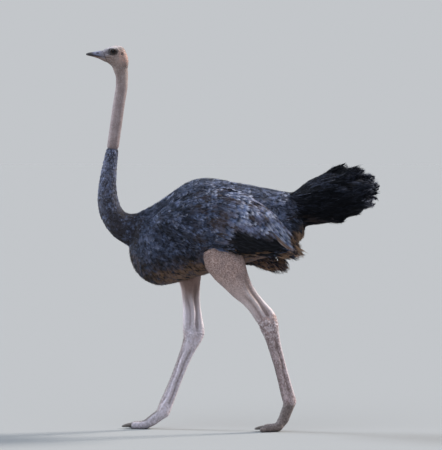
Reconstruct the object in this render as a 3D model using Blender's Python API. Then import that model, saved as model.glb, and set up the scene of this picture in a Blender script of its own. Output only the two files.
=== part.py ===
"""A walking female ostrich, life size, as a still museum model.

Metres, +Z up. The bird walks towards -X, so its left side faces -Y. The origin is on the floor under
the middle of its length. Every solid reaches out to the tips of its feathers.
"""

import math

import bmesh
import bpy
import numpy as np
from mathutils import Matrix, Vector

GAP = 0.0004  # clearance between pieces that touch
SIDES = {"left": -1.0, "right": 1.0}  # sign of Y on each side of the bird

# Trunk, from the rump to the breast: place along X, back, belly, half width.
TRUNK = [
    (0.345, 1.075, 0.965, 0.045),
    (0.325, 1.125, 0.930, 0.080),
    (0.285, 1.165, 0.900, 0.110),
    (0.205, 1.183, 0.870, 0.140),
    (0.105, 1.202, 0.842, 0.164),
    (0.000, 1.221, 0.812, 0.176),
    (-0.120, 1.243, 0.779, 0.180),
    (-0.205, 1.233, 0.752, 0.180),
    (-0.290, 1.184, 0.729, 0.175),
    (-0.370, 1.126, 0.716, 0.162),
    (-0.425, 1.096, 0.734, 0.142),
    (-0.465, 1.076, 0.763, 0.116),
    (-0.492, 1.042, 0.800, 0.086),
    (-0.508, 0.995, 0.838, 0.056),
    (-0.514, 0.950, 0.868, 0.030),
]

# Neck, from inside the trunk to inside the skull: X, Z, half depth, half width.
NECK = [
    (-0.420, 0.978, 0.084, 0.080),
    (-0.468, 0.985, 0.084, 0.078),
    (-0.512, 0.994, 0.079, 0.072),
    (-0.550, 1.008, 0.069, 0.064),
    (-0.585, 1.040, 0.060, 0.057),
    (-0.611, 1.085, 0.056, 0.052),
    (-0.623, 1.145, 0.051, 0.048),
    (-0.623, 1.215, 0.044, 0.042),
    (-0.614, 1.290, 0.038, 0.037),
    (-0.602, 1.362, 0.033, 0.032),
    (-0.597, 1.394, 0.030, 0.030),
    (-0.582, 1.500, 0.030, 0.029),
    (-0.568, 1.600, 0.030, 0.029),
    (-0.553, 1.690, 0.030, 0.028),
    (-0.551, 1.745, 0.031, 0.029),
    (-0.559, 1.785, 0.036, 0.031),
    (-0.568, 1.820, 0.040, 0.033),
    (-0.572, 1.840, 0.036, 0.030),
]
FEATHER_LINE = (-0.5975, 1.390)  # where the bare neck starts
NECK_TOP = (-0.553, 1.757)  # where the neck meets the head

# Skull and bill, from the nape to the bill's tip: X, crown, jaw, half width.
HEAD = [
    (-0.5205, 1.828, 1.800, 0.014),
    (-0.5250, 1.846, 1.786, 0.023),
    (-0.5330, 1.868, 1.778, 0.030),
    (-0.5450, 1.888, 1.775, 0.0345),
    (-0.5580, 1.896, 1.776, 0.0365),
    (-0.5750, 1.897, 1.781, 0.0380),
    (-0.5930, 1.896, 1.791, 0.0385),
    (-0.6120, 1.890, 1.805, 0.0345),
    (-0.6300, 1.882, 1.814, 0.0290),
    (-0.6460, 1.8745, 1.8225, 0.0255),
    (-0.6650, 1.869, 1.832, 0.0222),
    (-0.6880, 1.865, 1.840, 0.0190),
    (-0.7080, 1.862, 1.845, 0.0160),
    (-0.7200, 1.859, 1.848, 0.0120),
    (-0.7280, 1.8555, 1.851, 0.0060),
]
BILL_BASE = ((-0.645, 1.875), (-0.622, 1.815))  # a slanting line from forehead to chin
MOUTH = ((-0.728, 1.8530), (-0.608, 1.8365))  # from the bill's tip to the corner
EYE = {"x": -0.593, "y": 0.0205, "z": 1.866, "round": 0.0210, "deep": 0.0180}

# Legs. The left one pushes off behind the body and the right one is planted in front.
LEGS = {
    "left": {
        "knee": (-0.085, 0.120, 0.930),
        "hock": (0.168, 0.100, 0.535),
        "ball": (0.275, 0.062, 0.140),
        "toe_bend": (0.242, 0.060),
        "toe_flat": 0.215,
    },
    "right": {
        "knee": (-0.222, 0.120, 0.930),
        "hock": (-0.199, 0.110, 0.465),
        "ball": (-0.354, 0.088, 0.078),
        "toe_bend": (-0.408, 0.041),
        "toe_flat": -0.442,
    },
}
# Down each bone: share of its length, depth in front of its line and behind it, half width.
DRUMSTICK = {
    "left": [
        (0.00, 0.108, 0.095, 0.072),
        (0.17, 0.114, 0.084, 0.074),
        (0.32, 0.105, 0.067, 0.069),
        (0.45, 0.088, 0.046, 0.058),
        (0.57, 0.075, 0.032, 0.047),
        (0.68, 0.055, 0.031, 0.037),
        (0.78, 0.046, 0.037, 0.032),
        (0.88, 0.045, 0.048, 0.033),
        (0.97, 0.044, 0.053, 0.036),
    ],
    "right": [
        (0.00, 0.090, 0.085, 0.070),
        (0.20, 0.084, 0.069, 0.071),
        (0.36, 0.068, 0.052, 0.063),
        (0.50, 0.052, 0.041, 0.050),
        (0.61, 0.048, 0.036, 0.040),
        (0.72, 0.046, 0.036, 0.034),
        (0.82, 0.049, 0.042, 0.032),
        (0.91, 0.052, 0.050, 0.034),
        (0.98, 0.053, 0.055, 0.036),
    ],
}
TARSUS = [
    (0.04, 0.046, 0.048, 0.035),
    (0.12, 0.038, 0.038, 0.031),
    (0.23, 0.033, 0.031, 0.026),
    (0.36, 0.030, 0.028, 0.023),
    (0.54, 0.028, 0.027, 0.021),
    (0.72, 0.029, 0.028, 0.022),
    (0.88, 0.032, 0.030, 0.025),
    (1.00, 0.031, 0.034, 0.030),
]
HOCK_REACH = 0.060  # how far the hock joint's piece runs up and down from the joint
BIG_TOE = {"flat": 0.062, "half_width": 0.0275, "height": 0.040}
SMALL_TOE = {"length": 0.105, "splay": 24, "out": 0.018, "tip_z": 0.0125}
# Along the small toe and the claw: share of the length, half height, half width.
SMALL_TOE_SHAPE = [(0, 0.019, 0.0163), (0.3, 0.016, 0.0151), (0.6, 0.0135, 0.0140), (1, 0.0115, 0.0124)]
CLAW = {"length": 0.055, "lap": 0.006, "drop": 0.0065}
CLAW_SHAPE = [(0, 0.012, 0.018), (0.35, 0.011, 0.0165), (0.7, 0.0085, 0.0125), (1, 0.005, 0.007)]

# Wing, from the shoulder to the last secondaries: X, upper edge, lower edge, distance of its middle
# from the bird's middle plane, half thickness, and how far its upper edge curls in over the back.
WING = [
    (-0.395, 1.062, 1.030, 0.148, 0.012, 0.006),
    (-0.355, 1.100, 0.985, 0.164, 0.026, 0.018),
    (-0.285, 1.142, 0.928, 0.179, 0.033, 0.042),
    (-0.190, 1.184, 0.893, 0.187, 0.036, 0.062),
    (-0.100, 1.196, 0.875, 0.190, 0.036, 0.068),
    (-0.010, 1.194, 0.864, 0.190, 0.034, 0.066),
    (0.075, 1.166, 0.858, 0.186, 0.030, 0.054),
    (0.150, 1.110, 0.862, 0.178, 0.025, 0.034),
    (0.215, 1.050, 0.872, 0.168, 0.020, 0.020),
    (0.265, 0.992, 0.872, 0.158, 0.015, 0.010),
    (0.300, 0.942, 0.872, 0.150, 0.008, 0.004),
]
LOWER_CURL = 0.45  # the lower edge's curl as a share of the upper edge's
SHOULDER = (-0.330, 1.045)
WING_DROOP = {"left": 0.0, "right": 7.5}  # degrees about the shoulder
WING_SHIFT = {"left": 0.0, "right": -0.040}  # along X
# Plumes past the wing's lower end: root (X, Z) and tip (X, Z).
WING_PLUMES = [
    ((0.180, 1.000), (0.326, 0.896)),
    ((0.190, 0.975), (0.349, 0.856)),
    ((0.160, 0.950), (0.322, 0.849)),
    ((0.130, 0.930), (0.292, 0.855)),
    ((0.090, 0.915), (0.255, 0.860)),
]
WING_PLUME = {"half_width": 0.023, "half_thick": 0.011, "root_y": 0.166, "tip_y": 0.146, "bow": 0.03}

# Tail: a bush of plumes fanned from the rump. Its core: X, Z, half height, half width.
TAIL_CORE = [
    (0.270, 1.085, 0.060, 0.060),
    (0.330, 1.095, 0.088, 0.080),
    (0.400, 1.125, 0.112, 0.100),
    (0.480, 1.152, 0.122, 0.112),
    (0.560, 1.160, 0.110, 0.106),
    (0.620, 1.162, 0.082, 0.084),
    (0.660, 1.163, 0.050, 0.054),
]
TAIL_ROOT = (0.285, 1.095)
# Plume tips in the side view (X, Z), and how far each stands from the middle, on one side or both.
TAIL_PLUMES = [
    ((0.575, 1.308), 0.000),
    ((0.655, 1.290), 0.050),
    ((0.708, 1.250), 0.000),
    ((0.727, 1.206), 0.068),
    ((0.722, 1.160), 0.000),
    ((0.702, 1.114), 0.064),
    ((0.636, 1.074), 0.000),
    ((0.550, 1.028), 0.050),
]
TAIL_PLUME = {"half_width": 0.036, "half_thick": 0.030, "bow": 0.06}
# Along a plume: share of its length and of its full breadth.
PLUME_SHAPE = [(0.0, 0.6), (0.35, 0.95), (0.65, 1.0), (0.86, 0.78), (1.0, 0.25)]

SKIN = {"colour": (0.50, 0.38, 0.33, 1), "rough": 0.75}
PLUMAGE = {"colour": (0.105, 0.090, 0.085, 1), "rough": 0.95}
DARK_PLUMAGE = {"colour": (0.035, 0.030, 0.030, 1), "rough": 0.95}
HORN = {"colour": (0.30, 0.27, 0.25, 1), "rough": 0.45}
EYE_BALL = {"colour": (0.012, 0.008, 0.006, 1), "rough": 0.05}


def material(name, finish):
    made = bpy.data.materials.new(name)
    made.use_nodes = True
    shader = made.node_tree.nodes["Principled BSDF"]
    shader.inputs["Base Color"].default_value = finish["colour"]
    shader.inputs["Roughness"].default_value = finish["rough"]
    shader.inputs["Metallic"].default_value = 0.0
    return made


def show(name, bm, finish, hidden=False):
    """Turns a bmesh into an object, smooth except at its cut edges."""
    bmesh.ops.recalc_face_normals(bm, faces=bm.faces)
    mesh = bpy.data.meshes.new(name)
    bm.to_mesh(mesh)
    bm.free()
    mesh.shade_smooth()
    mesh.set_sharp_from_angle(angle=math.radians(50))
    made = bpy.data.objects.new(name, mesh)
    bpy.context.scene.collection.objects.link(made)
    if hidden:
        made.hide_render = True
        made.display_type = "WIRE"
    else:
        mesh.materials.append(finish)
    return made


def smooth_rows(rows, steps):
    """The rows with steps - 1 more between each two, on a Catmull-Rom curve."""
    rows = np.array(rows, float)
    ends = np.vstack([2 * rows[0] - rows[1], rows, 2 * rows[-1] - rows[-2]])
    out = []
    for before, here, there, after in zip(ends, ends[1:], ends[2:], ends[3:]):
        for t in np.arange(steps) / steps:
            out.append(
                here
                + 0.5 * t * (there - before)
                + t * t * (before - 2.5 * here + 2 * there - 0.5 * after)
                + t**3 * (1.5 * (here - there) + 0.5 * (after - before))
            )
    return [*out, rows[-1]]


def loft(rows, sides=24, towards=(0, 0, 1), square=2.0, upright=False):
    """A closed skin over rings. A row is X, Y, Z, half height on the side of towards, half height on
    the other side, half width. Rings stand square to the path, or to X if upright."""
    centres = [Vector(row[:3]) for row in rows]
    bm = bmesh.new()
    rings = []
    up = Vector(towards)
    for i, row in enumerate(rows):
        along = centres[min(i + 1, len(rows) - 1)] - centres[max(i - 1, 0)]
        along = Vector((-1, 0, 0)) if upright else along.normalized()
        across = (Vector((0, 1, 0)) - along * along.y).normalized()
        square_up = along.cross(across)
        up = square_up if square_up.dot(up) > 0 else -square_up
        ring = []
        for k in range(sides):
            turn = 2 * math.pi * (k + 0.5) / sides
            c, s = math.cos(turn), math.sin(turn)
            height = row[3] if s > 0 else row[4]
            wide = math.copysign(abs(c) ** (2 / square), c) * row[5]
            high = math.copysign(abs(s) ** (2 / square), s) * height
            ring.append(bm.verts.new(centres[i] + across * wide + up * high))
        edges = [bm.edges.new((ring[k - 1], ring[k])) for k in range(sides)]
        rings.append(edges)
    for first, second in zip(rings, rings[1:]):
        bmesh.ops.bridge_loops(bm, edges=first + second)
    for ring in (rings[0], rings[-1]):
        bmesh.ops.edgeloop_fill(bm, edges=ring)
    bmesh.ops.triangulate(bm, faces=bm.faces)
    bmesh.ops.recalc_face_normals(bm, faces=bm.faces)
    return bm


def grown(bm):
    """The bmesh with every point moved out along its normal, for cutting a neighbour with clearance."""
    bm.normal_update()
    moves = [vert.normal * GAP for vert in bm.verts]
    for vert, move in zip(bm.verts, moves):
        vert.co += move
    return bm


def domed(rows, length, steps):
    """The rows with a round end of that length added after the last one."""
    last, before = np.array(rows[-1], float), np.array(rows[-2], float)
    along = last[:3] - before[:3]
    along *= length / np.linalg.norm(along)
    rows = list(rows)
    for turn in np.radians(84) * np.arange(1, steps + 1) / steps:
        rows.append((*(last[:3] + along * math.sin(turn)), *(last[3:] * math.cos(turn))))
    return rows


def keep_side(bm, point, normal):
    """Cuts the closed bmesh with a plane, drops what lies behind the normal and closes the cut."""
    cut = bmesh.ops.bisect_plane(
        bm,
        geom=[*bm.verts, *bm.edges, *bm.faces],
        plane_co=point,
        plane_no=normal,
        clear_inner=True,
    )
    edges = [e for e in cut["geom_cut"] if isinstance(e, bmesh.types.BMEdge)]
    bmesh.ops.holes_fill(bm, edges=edges)
    return bm


def parted(whole, cuts):
    """The pieces between plane cuts, in order. A cut is a point and the direction of what follows."""
    pieces = []
    for i in range(len(cuts) + 1):
        bm = whole.copy()
        if i > 0:
            point, normal = cuts[i - 1]
            keep_side(bm, point + normal * GAP / 2, normal)
        if i < len(cuts):
            point, normal = cuts[i]
            keep_side(bm, point - normal * GAP / 2, -normal)
        pieces.append(bm)
    return pieces


def joined(first, second):
    """Two closed bmeshes as one, by a Boolean union."""
    a = show("union_a", first, None, hidden=True)
    b = show("union_b", second, None, hidden=True)
    boolean(a, b, "UNION")
    graph = bpy.context.evaluated_depsgraph_get()
    bm = bmesh.new()
    bm.from_object(a, graph)
    for used in (a, b):
        bpy.data.objects.remove(used)
    return bm


def boolean(target, other, operation="DIFFERENCE"):
    modifier = target.modifiers.new(operation.lower(), "BOOLEAN")
    modifier.operation = operation
    modifier.solver = "EXACT"
    modifier.object = other


def cutter(name, bm):
    return show(name, bm, None, hidden=True)


def at(point_xz, y=0.0):
    return Vector((point_xz[0], y, point_xz[1]))


def trunk_bmesh():
    return loft(between_edges(smooth_rows(TRUNK, 2)), sides=22, square=2.15, upright=True)


def between_edges(rows):
    """Loft rows from rows of X, upper edge, lower edge, half width."""
    return [(x, 0, (top + low) / 2, (top - low) / 2, (top - low) / 2, w) for x, top, low, w in rows]


def neck_and_head():
    neck = loft([(x, 0, z, deep, deep, wide) for x, z, deep, wide in NECK], sides=16)
    skull = loft(between_edges(HEAD), sides=16, square=2.25, upright=True)
    return joined(neck, skull)


def build_neck_and_head(finishes, trunk_cutter):
    whole = neck_and_head()
    feather_cut = (at(FEATHER_LINE), Vector((0.12, 0, 1)).normalized())
    head_cut = (at(NECK_TOP), Vector((0.05, 0, 1)).normalized())
    lower, upper, head = parted(whole, [feather_cut, head_cut])
    whole.free()

    forehead, chin = at(BILL_BASE[0]), at(BILL_BASE[1])
    forward = (chin - forehead).cross(Vector((0, 1, 0))).normalized()
    forward *= -1 if forward.x > 0 else 1
    skull, bill = parted(head, [(forehead, forward)])
    head.free()
    tip, corner = at(MOUTH[0]), at(MOUTH[1])
    upwards = (tip - corner).cross(Vector((0, 1, 0))).normalized()
    upwards *= -1 if upwards.z < 0 else 1
    bill_lower, bill_upper = parted(bill, [(tip, upwards)])
    bill.free()

    feathered = show("neck_feathered", lower, finishes["plumage"])
    boolean(feathered, trunk_cutter)
    show("neck_bare", upper, finishes["skin"])
    head_object = show("head", skull, finishes["skin"])
    show("bill_upper", bill_upper, finishes["horn"])
    show("bill_lower", bill_lower, finishes["horn"])
    for side, sign in SIDES.items():
        place = Vector((EYE["x"], sign * EYE["y"], EYE["z"]))
        show(f"eye_{side}", eye_ball(place), finishes["eye"])
        boolean(head_object, cutter(f"socket_{side}", grown(eye_ball(place))))


def eye_ball(place):
    """An eye, flatter from side to side than it is round."""
    bm = bmesh.new()
    bmesh.ops.create_uvsphere(bm, u_segments=12, v_segments=8, radius=EYE["round"])
    bmesh.ops.scale(bm, verts=bm.verts, vec=(1, 1, EYE["deep"] / EYE["round"]))
    bmesh.ops.rotate(bm, verts=bm.verts, matrix=Matrix.Rotation(math.pi / 2, 3, "X"))
    bmesh.ops.translate(bm, verts=bm.verts, vec=place)
    return bm


def joint(side, name):
    x, y, z = LEGS[side][name]
    return Vector((x, SIDES[side] * y, z))


def leg_bmesh(side):
    """The whole leg from inside the trunk to the ball of the foot."""
    knee, hock, ball = (joint(side, name) for name in ("knee", "hock", "ball"))
    rows = [(*knee.lerp(hock, row[0]), *row[1:]) for row in DRUMSTICK[side]]
    rows += [(*hock.lerp(ball, row[0]), *row[1:]) for row in TARSUS]
    return loft(domed(rows, 0.022, 2), sides=14, towards=(-1, 0, 0))


def build_leg(side, finishes, trunk_cutter):
    knee, hock, ball = (joint(side, name) for name in ("knee", "hock", "ball"))
    calf_way, tarsus_way = (hock - knee).normalized(), (ball - hock).normalized()
    above = (hock - calf_way * HOCK_REACH, calf_way)
    below = (hock + tarsus_way * HOCK_REACH, tarsus_way)
    whole = leg_bmesh(side)
    drumstick, hock_piece, tarsus = parted(whole, [above, below])
    whole.free()
    boolean(show(f"drumstick_{side}", drumstick, finishes["skin"]), trunk_cutter)
    show(f"hock_{side}", hock_piece, finishes["skin"])
    show(f"tarsus_{side}", tarsus, finishes["skin"])
    leg_cutter = cutter(f"leg_cutter_{side}", grown(leg_bmesh(side)))
    build_foot(side, finishes, leg_cutter)
    return leg_cutter


def toe_bmesh(rows, sides):
    """A toe, sliced flat where it presses on the floor."""
    bm = loft(domed(rows, 0.010, 2), sides=sides, square=2.3)
    return keep_side(bm, Vector((0, 0, 0)), Vector((0, 0, 1)))


def big_toe_rows(side):
    ball = joint(side, "ball")
    bend = at(LEGS[side]["toe_bend"], ball.y)
    flat = Vector((LEGS[side]["toe_flat"], ball.y, 0.021))
    tip = flat - Vector((BIG_TOE["flat"], 0, 0.002))
    half_width, high = BIG_TOE["half_width"], BIG_TOE["height"]
    return [
        (*ball, 0.028, 0.028, 0.029),
        (*ball.lerp(bend, 0.5), 0.026, 0.027, 0.029),
        (*bend, 0.024, 0.028, 0.029),
        (*flat, high - flat.z, 0.0235, half_width),
        (*flat.lerp(tip, 0.5), high - flat.z - 0.002, 0.0225, half_width * 1.03),
        (*tip, high - flat.z - 0.004, 0.0205, half_width * 0.86),
    ]


def small_toe_rows(side):
    """The outer toe, splayed away from the big one."""
    big = big_toe_rows(side)
    splay = math.radians(SMALL_TOE["splay"])
    way = Vector((-math.cos(splay), SIDES[side] * math.sin(splay), 0))
    root = Vector(big[2][:3]).lerp(Vector(big[3][:3]), 0.4)
    root.y += SIDES[side] * SMALL_TOE["out"]
    root.z *= 0.7
    rows = []
    for share, half_height, half_width in SMALL_TOE_SHAPE:
        place = root + way * SMALL_TOE["length"] * share
        place.z = SMALL_TOE["tip_z"] + (root.z - SMALL_TOE["tip_z"]) * (1 - share) ** 2
        rows.append((*place, half_height, half_height + 0.002, half_width))
    return rows


def claw_bmesh(side):
    toe_tip = Vector(big_toe_rows(side)[-1][:3])
    rows = []
    for share, half_height, half_width in CLAW_SHAPE:
        forward = CLAW["lap"] - CLAW["length"] * share
        place = toe_tip + Vector((forward, 0, -CLAW["drop"] * share * share))
        rows.append((*place, half_height, half_height, half_width))
    return loft(domed(rows, 0.005, 1), sides=8)


def build_foot(side, finishes, leg_cutter):
    big = show(f"toe_big_{side}", toe_bmesh(big_toe_rows(side), 12), finishes["skin"])
    small = show(f"toe_small_{side}", toe_bmesh(small_toe_rows(side), 10), finishes["skin"])
    claw = show(f"claw_{side}", claw_bmesh(side), finishes["horn"])
    toe_cutter = cutter(f"toe_cutter_{side}", grown(toe_bmesh(big_toe_rows(side), 12)))
    boolean(big, leg_cutter)
    boolean(small, leg_cutter)
    boolean(small, toe_cutter)
    boolean(claw, toe_cutter)


def droop(side, x, z):
    """A wing point in the side view, let down about the shoulder."""
    angle = math.radians(-WING_DROOP[side])
    dx, dz = x - SHOULDER[0], z - SHOULDER[1]
    x = SHOULDER[0] + dx * math.cos(angle) - dz * math.sin(angle) + WING_SHIFT[side]
    return x, SHOULDER[1] + dx * math.sin(angle) + dz * math.cos(angle)


def wing_bmesh(side):
    """A shell of feathers over the flank, its upper and lower edges curled in round the trunk."""
    rows = []
    stations = []
    for x, top, low, out, thick, curl in WING:
        upper, lower = droop(side, x, top), droop(side, x, low)
        middle, half = (upper[1] + lower[1]) / 2, (upper[1] - lower[1]) / 2
        place = (upper[0] + lower[0]) / 2
        rows.append((place, SIDES[side] * out, middle, half, half, thick))
        stations.append((place, middle, half, curl))
    bm = loft(rows, sides=16, upright=True)
    places, *shapes = np.array(stations).T
    for vert in bm.verts:
        middle, half, curl = (np.interp(vert.co.x, places, shape) for shape in shapes)
        share = (vert.co.z - middle) / half
        curl *= 1 if share > 0 else LOWER_CURL
        vert.co.y -= SIDES[side] * curl * share * share
    return bm


def plume_bmesh(root, tip, shape, sides):
    """One blunt plume, broadest past its middle and bowed upwards."""
    rows = []
    for share, size in PLUME_SHAPE:
        place = root.lerp(tip, share)
        place.z += shape["bow"] * share * (1 - share)
        breadth = shape["half_width"] * size
        rows.append((*place, breadth, breadth, shape["half_thick"] * size))
    return loft(rows, sides=sides)


def build_wing(side, finishes, cutters):
    plumes = None
    for root, tip in WING_PLUMES:
        start = at(droop(side, *root), SIDES[side] * WING_PLUME["root_y"])
        end = at(droop(side, *tip), SIDES[side] * WING_PLUME["tip_y"])
        plume = plume_bmesh(start, end, WING_PLUME, sides=6)
        plumes = joined(plumes, plume) if plumes else plume
    wing = show(f"wing_{side}", wing_bmesh(side), finishes["plumage"])
    plumes = show(f"wing_plumes_{side}", plumes, finishes["dark"])
    for other in cutters:
        boolean(wing, other)
        boolean(plumes, other)
    boolean(plumes, cutter(f"wing_cutter_{side}", grown(wing_bmesh(side))))


def build_tail(finishes, trunk_cutter):
    tail = loft([(x, 0, z, high, high, wide) for x, z, high, wide in TAIL_CORE], sides=14)
    for tip, apart in TAIL_PLUMES:
        for sign in (1, -1) if apart else (1,):
            end = at(tip, sign * apart)
            start = at(TAIL_ROOT, sign * apart * 0.3).lerp(end, 0.3)
            tail = joined(tail, plume_bmesh(start, end, TAIL_PLUME, sides=7))
    boolean(show("tail", tail, finishes["dark"]), trunk_cutter)


def main():
    for old in list(bpy.data.objects):
        bpy.data.objects.remove(old)
    finishes = {
        "skin": material("bare_skin", SKIN),
        "plumage": material("plumage", PLUMAGE),
        "dark": material("dark_plumage", DARK_PLUMAGE),
        "horn": material("horn", HORN),
        "eye": material("eye", EYE_BALL),
    }
    show("trunk", trunk_bmesh(), finishes["plumage"])
    trunk_cutter = cutter("trunk_cutter", grown(trunk_bmesh()))
    build_neck_and_head(finishes, trunk_cutter)
    for side in SIDES:
        leg_cutter = build_leg(side, finishes, trunk_cutter)
        build_wing(side, finishes, [trunk_cutter, leg_cutter])
    build_tail(finishes, trunk_cutter)


main()
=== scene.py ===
# A walking female ostrich, life size: skin, bill, eyes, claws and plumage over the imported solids.
import math

import bmesh
import bpy
import numpy as np
from mathutils import Matrix, Vector
from mathutils.bvhtree import BVHTree


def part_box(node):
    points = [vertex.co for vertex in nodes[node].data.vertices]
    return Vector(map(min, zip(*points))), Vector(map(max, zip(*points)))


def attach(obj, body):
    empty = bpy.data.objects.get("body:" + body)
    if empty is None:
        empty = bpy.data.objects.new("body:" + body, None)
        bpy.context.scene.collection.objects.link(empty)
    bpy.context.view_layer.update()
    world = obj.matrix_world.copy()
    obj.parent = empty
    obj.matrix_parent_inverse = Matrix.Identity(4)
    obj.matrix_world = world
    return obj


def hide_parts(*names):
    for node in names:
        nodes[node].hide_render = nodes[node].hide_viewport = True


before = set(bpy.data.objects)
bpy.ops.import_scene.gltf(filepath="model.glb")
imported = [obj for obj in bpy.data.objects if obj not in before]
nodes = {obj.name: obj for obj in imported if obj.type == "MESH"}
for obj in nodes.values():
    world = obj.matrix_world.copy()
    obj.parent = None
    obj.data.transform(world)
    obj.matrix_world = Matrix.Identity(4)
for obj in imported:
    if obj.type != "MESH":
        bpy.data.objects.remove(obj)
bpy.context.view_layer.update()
sides = {"left": -1.0, "right": 1.0}


# Finishes are built from nodes, with their sums written as plain arithmetic.

class Signal:
    # one output of a material's nodes, with arithmetic

    def __init__(self, finish, socket):
        self.finish = finish
        self.socket = socket

    def maths(self, operation, *others, clamp=False):
        settings = {"operation": operation, "use_clamp": clamp}
        return self.finish.add("Math", settings, dict(enumerate([self, *others])))

    def __add__(self, other):
        return self.maths("ADD", other)

    def __sub__(self, other):
        return self.maths("SUBTRACT", other)

    def __rsub__(self, other):
        return self.maths("MULTIPLY_ADD", -1.0, other)

    def __mul__(self, other):
        return self.maths("MULTIPLY", other)

    def __pow__(self, other):
        return self.maths("POWER", other)

    __radd__ = __add__

    def clamped(self):
        return self.maths("ADD", 0.0, clamp=True)

    def size(self):
        return self.maths("ABSOLUTE")

    def step(self, low, high):
        # 0 below low and 1 above high, smooth between; low may be the greater
        if low > high:
            return 1 - self.step(high, low)
        sockets = {"Value": self, "From Min": low, "From Max": high}
        return self.finish.add("MapRange", {"interpolation_type": "SMOOTHSTEP"}, sockets)


class Finish:
    # a material under construction

    def __init__(self, name, roughness, **constants):
        self.material = bpy.data.materials.new(name)
        self.material.use_nodes = True
        self.tree = self.material.node_tree
        self.shader = self.tree.nodes["Principled BSDF"]
        self.shade(Roughness=roughness, **constants)

    def add(self, kind, settings=None, sockets=None, out=0):
        # any node: its settings first, then values or links for its sockets
        node = self.tree.nodes.new(f"ShaderNode{kind}")
        for name, value in (settings or {}).items():
            setattr(node, name, value)
        for name, value in (sockets or {}).items():
            self.feed(node.inputs[name], value)
        return Signal(self, node.outputs[out])

    def feed(self, socket, value):
        if isinstance(value, Signal):
            self.tree.links.new(value.socket, socket)
        else:
            socket.default_value = (*value, 1.0) if socket.type == "RGBA" else value

    def shade(self, **sockets):
        for name, value in sockets.items():
            self.feed(self.shader.inputs[name.replace("_", " ")], value)
        return self.material

    def place(self, where=(1, 1, 1)):
        # a point of the piece in metres, scaled by where, unless where is a place already
        if isinstance(where, Signal):
            return where
        return self.add("Mapping", {}, {"Vector": self.add("TexCoord", out="Object"), "Scale": where})

    def noise(self, scale, detail=3, where=(1, 1, 1), warp=0.0):
        sockets = {"Vector": self.place(where), "Scale": scale, "Detail": detail}
        return self.add("TexNoise", {}, {**sockets, "Roughness": 0.55, "Distortion": warp})

    def cells(self, scale, where=(1, 1, 1), feature="F1", out="Distance"):
        sockets = {"Vector": self.place(where), "Scale": scale}
        return self.add("TexVoronoi", {"feature": feature}, sockets, out)

    def blend(self, amount, first, second):
        # a colour from first, at 0, to second, at 1
        return self.add("Mix", {"data_type": "RGBA"}, {0: amount, 6: first, 7: second}, 2)

    def layers(self, colour, *layers):
        # colours laid over one another, each by its own share
        for share, over in layers:
            colour = self.blend(share, colour, over)
        return colour

    def split(self, vector):
        return [self.add("SeparateXYZ", {}, {0: vector}, i) for i in range(3)]

    def attribute(self, name):
        # the three numbers of a point's attribute
        return self.split(self.add("Attribute", {"attribute_name": name}, out="Vector"))

    def bump(self, height, depth, strength=1.0):
        return self.add("Bump", {}, {"Height": height, "Distance": depth, "Strength": strength})


def oval(x, z, place, wide, high):
    # a signal that grows from 0 at a place on the cheek
    return ((x - place[0]) * wide) ** 2 + ((z - place[1]) * high) ** 2


# Meshes are read and written as arrays of numbers.

def ramp(value, low, high):
    # 0 at low and 1 at high, smooth between; low may be the greater
    share = np.clip((np.asarray(value, float) - low) / (high - low), 0, 1)
    return share * share * (3 - 2 * share)


def unit(vectors):
    return vectors / np.maximum(np.linalg.norm(vectors, axis=-1, keepdims=True), 1e-9)


def readPoints(mesh):
    # every point, and every point's normal
    read = []
    for values, key in ((mesh.vertices, "co"), (mesh.vertex_normals, "vector")):
        found = np.empty(len(values) * 3, np.float32)
        values.foreach_get(key, found)
        read.append(found.reshape(-1, 3).astype(float))
    return read


def addPiece(name, mesh):
    piece = bpy.data.objects.new(name, mesh)
    bpy.context.scene.collection.objects.link(piece)
    return piece


def meshFrom(bm, name):
    mesh = bpy.data.meshes.new(name)
    bm.to_mesh(mesh)
    bm.free()
    return mesh


def writePoints(mesh, points):
    mesh.vertices.foreach_set("co", points.astype(np.float32).ravel())
    mesh.update()


def bell(value, width, middle=0.0):
    # 1 at the middle, and less to both sides
    return np.exp(-(((value - middle) / width) ** 2))


def dressed(name, mesh, finish, slot, *replaced):
    # a finished piece on the body, in place of some of its nodes
    mesh.shade_smooth()
    mesh.materials.append(finish)
    piece = addPiece(name, mesh)
    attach(piece, "root")
    if replaced:
        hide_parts(*replaced)


def solidCopy(name, swell=0.0):
    # a solid as one closed bmesh, grown along its normals
    bm = bmesh.new()
    bm.from_mesh(nodes[name].data)
    bmesh.ops.remove_doubles(bm, verts=bm.verts, dist=1e-5)
    return grown(bm, swell) if swell else bm


def grown(bm, swell):
    bm.normal_update()
    moves = [vert.normal * swell for vert in bm.verts]
    for vert, move in zip(bm.verts, moves):
        vert.co += move
    return bm


def gathered(names, swell=0.001):
    # several solids in one bmesh, each a little swollen so that neighbours run into each other
    bm = bmesh.new()
    for name in names:
        mesh = meshFrom(solidCopy(name, swell), "part")
        bm.from_mesh(mesh)
        bpy.data.meshes.remove(mesh)
    return bm


def modified(bm, kind, group=None, **settings):
    # the bmesh with one modifier applied
    piece = addPiece("shaping", meshFrom(bm, "shaping"))
    if group is not None:
        made = piece.vertex_groups.new(name="chosen")
        made.add([int(i) for i in group], 1.0, "REPLACE")
        settings["vertex_group"] = "chosen"
    modifier = piece.modifiers.new("shaping", kind)
    for name, value in settings.items():
        setattr(modifier, name, value)
    graph = bpy.context.evaluated_depsgraph_get()
    out = bmesh.new()
    out.from_object(piece, graph)
    mesh = piece.data
    bpy.data.objects.remove(piece)
    bpy.data.meshes.remove(mesh)
    return out


def evened(bm, verts, rounds):
    for _ in range(rounds):
        bmesh.ops.smooth_vert(bm, verts=verts, factor=0.5, use_axis_x=True, use_axis_y=True, use_axis_z=True)
    return bm


def remeshed(bm, voxel, rounds=4):
    out = modified(bm, "REMESH", mode="VOXEL", voxel_size=voxel)
    return evened(out, out.verts, rounds)


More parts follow.
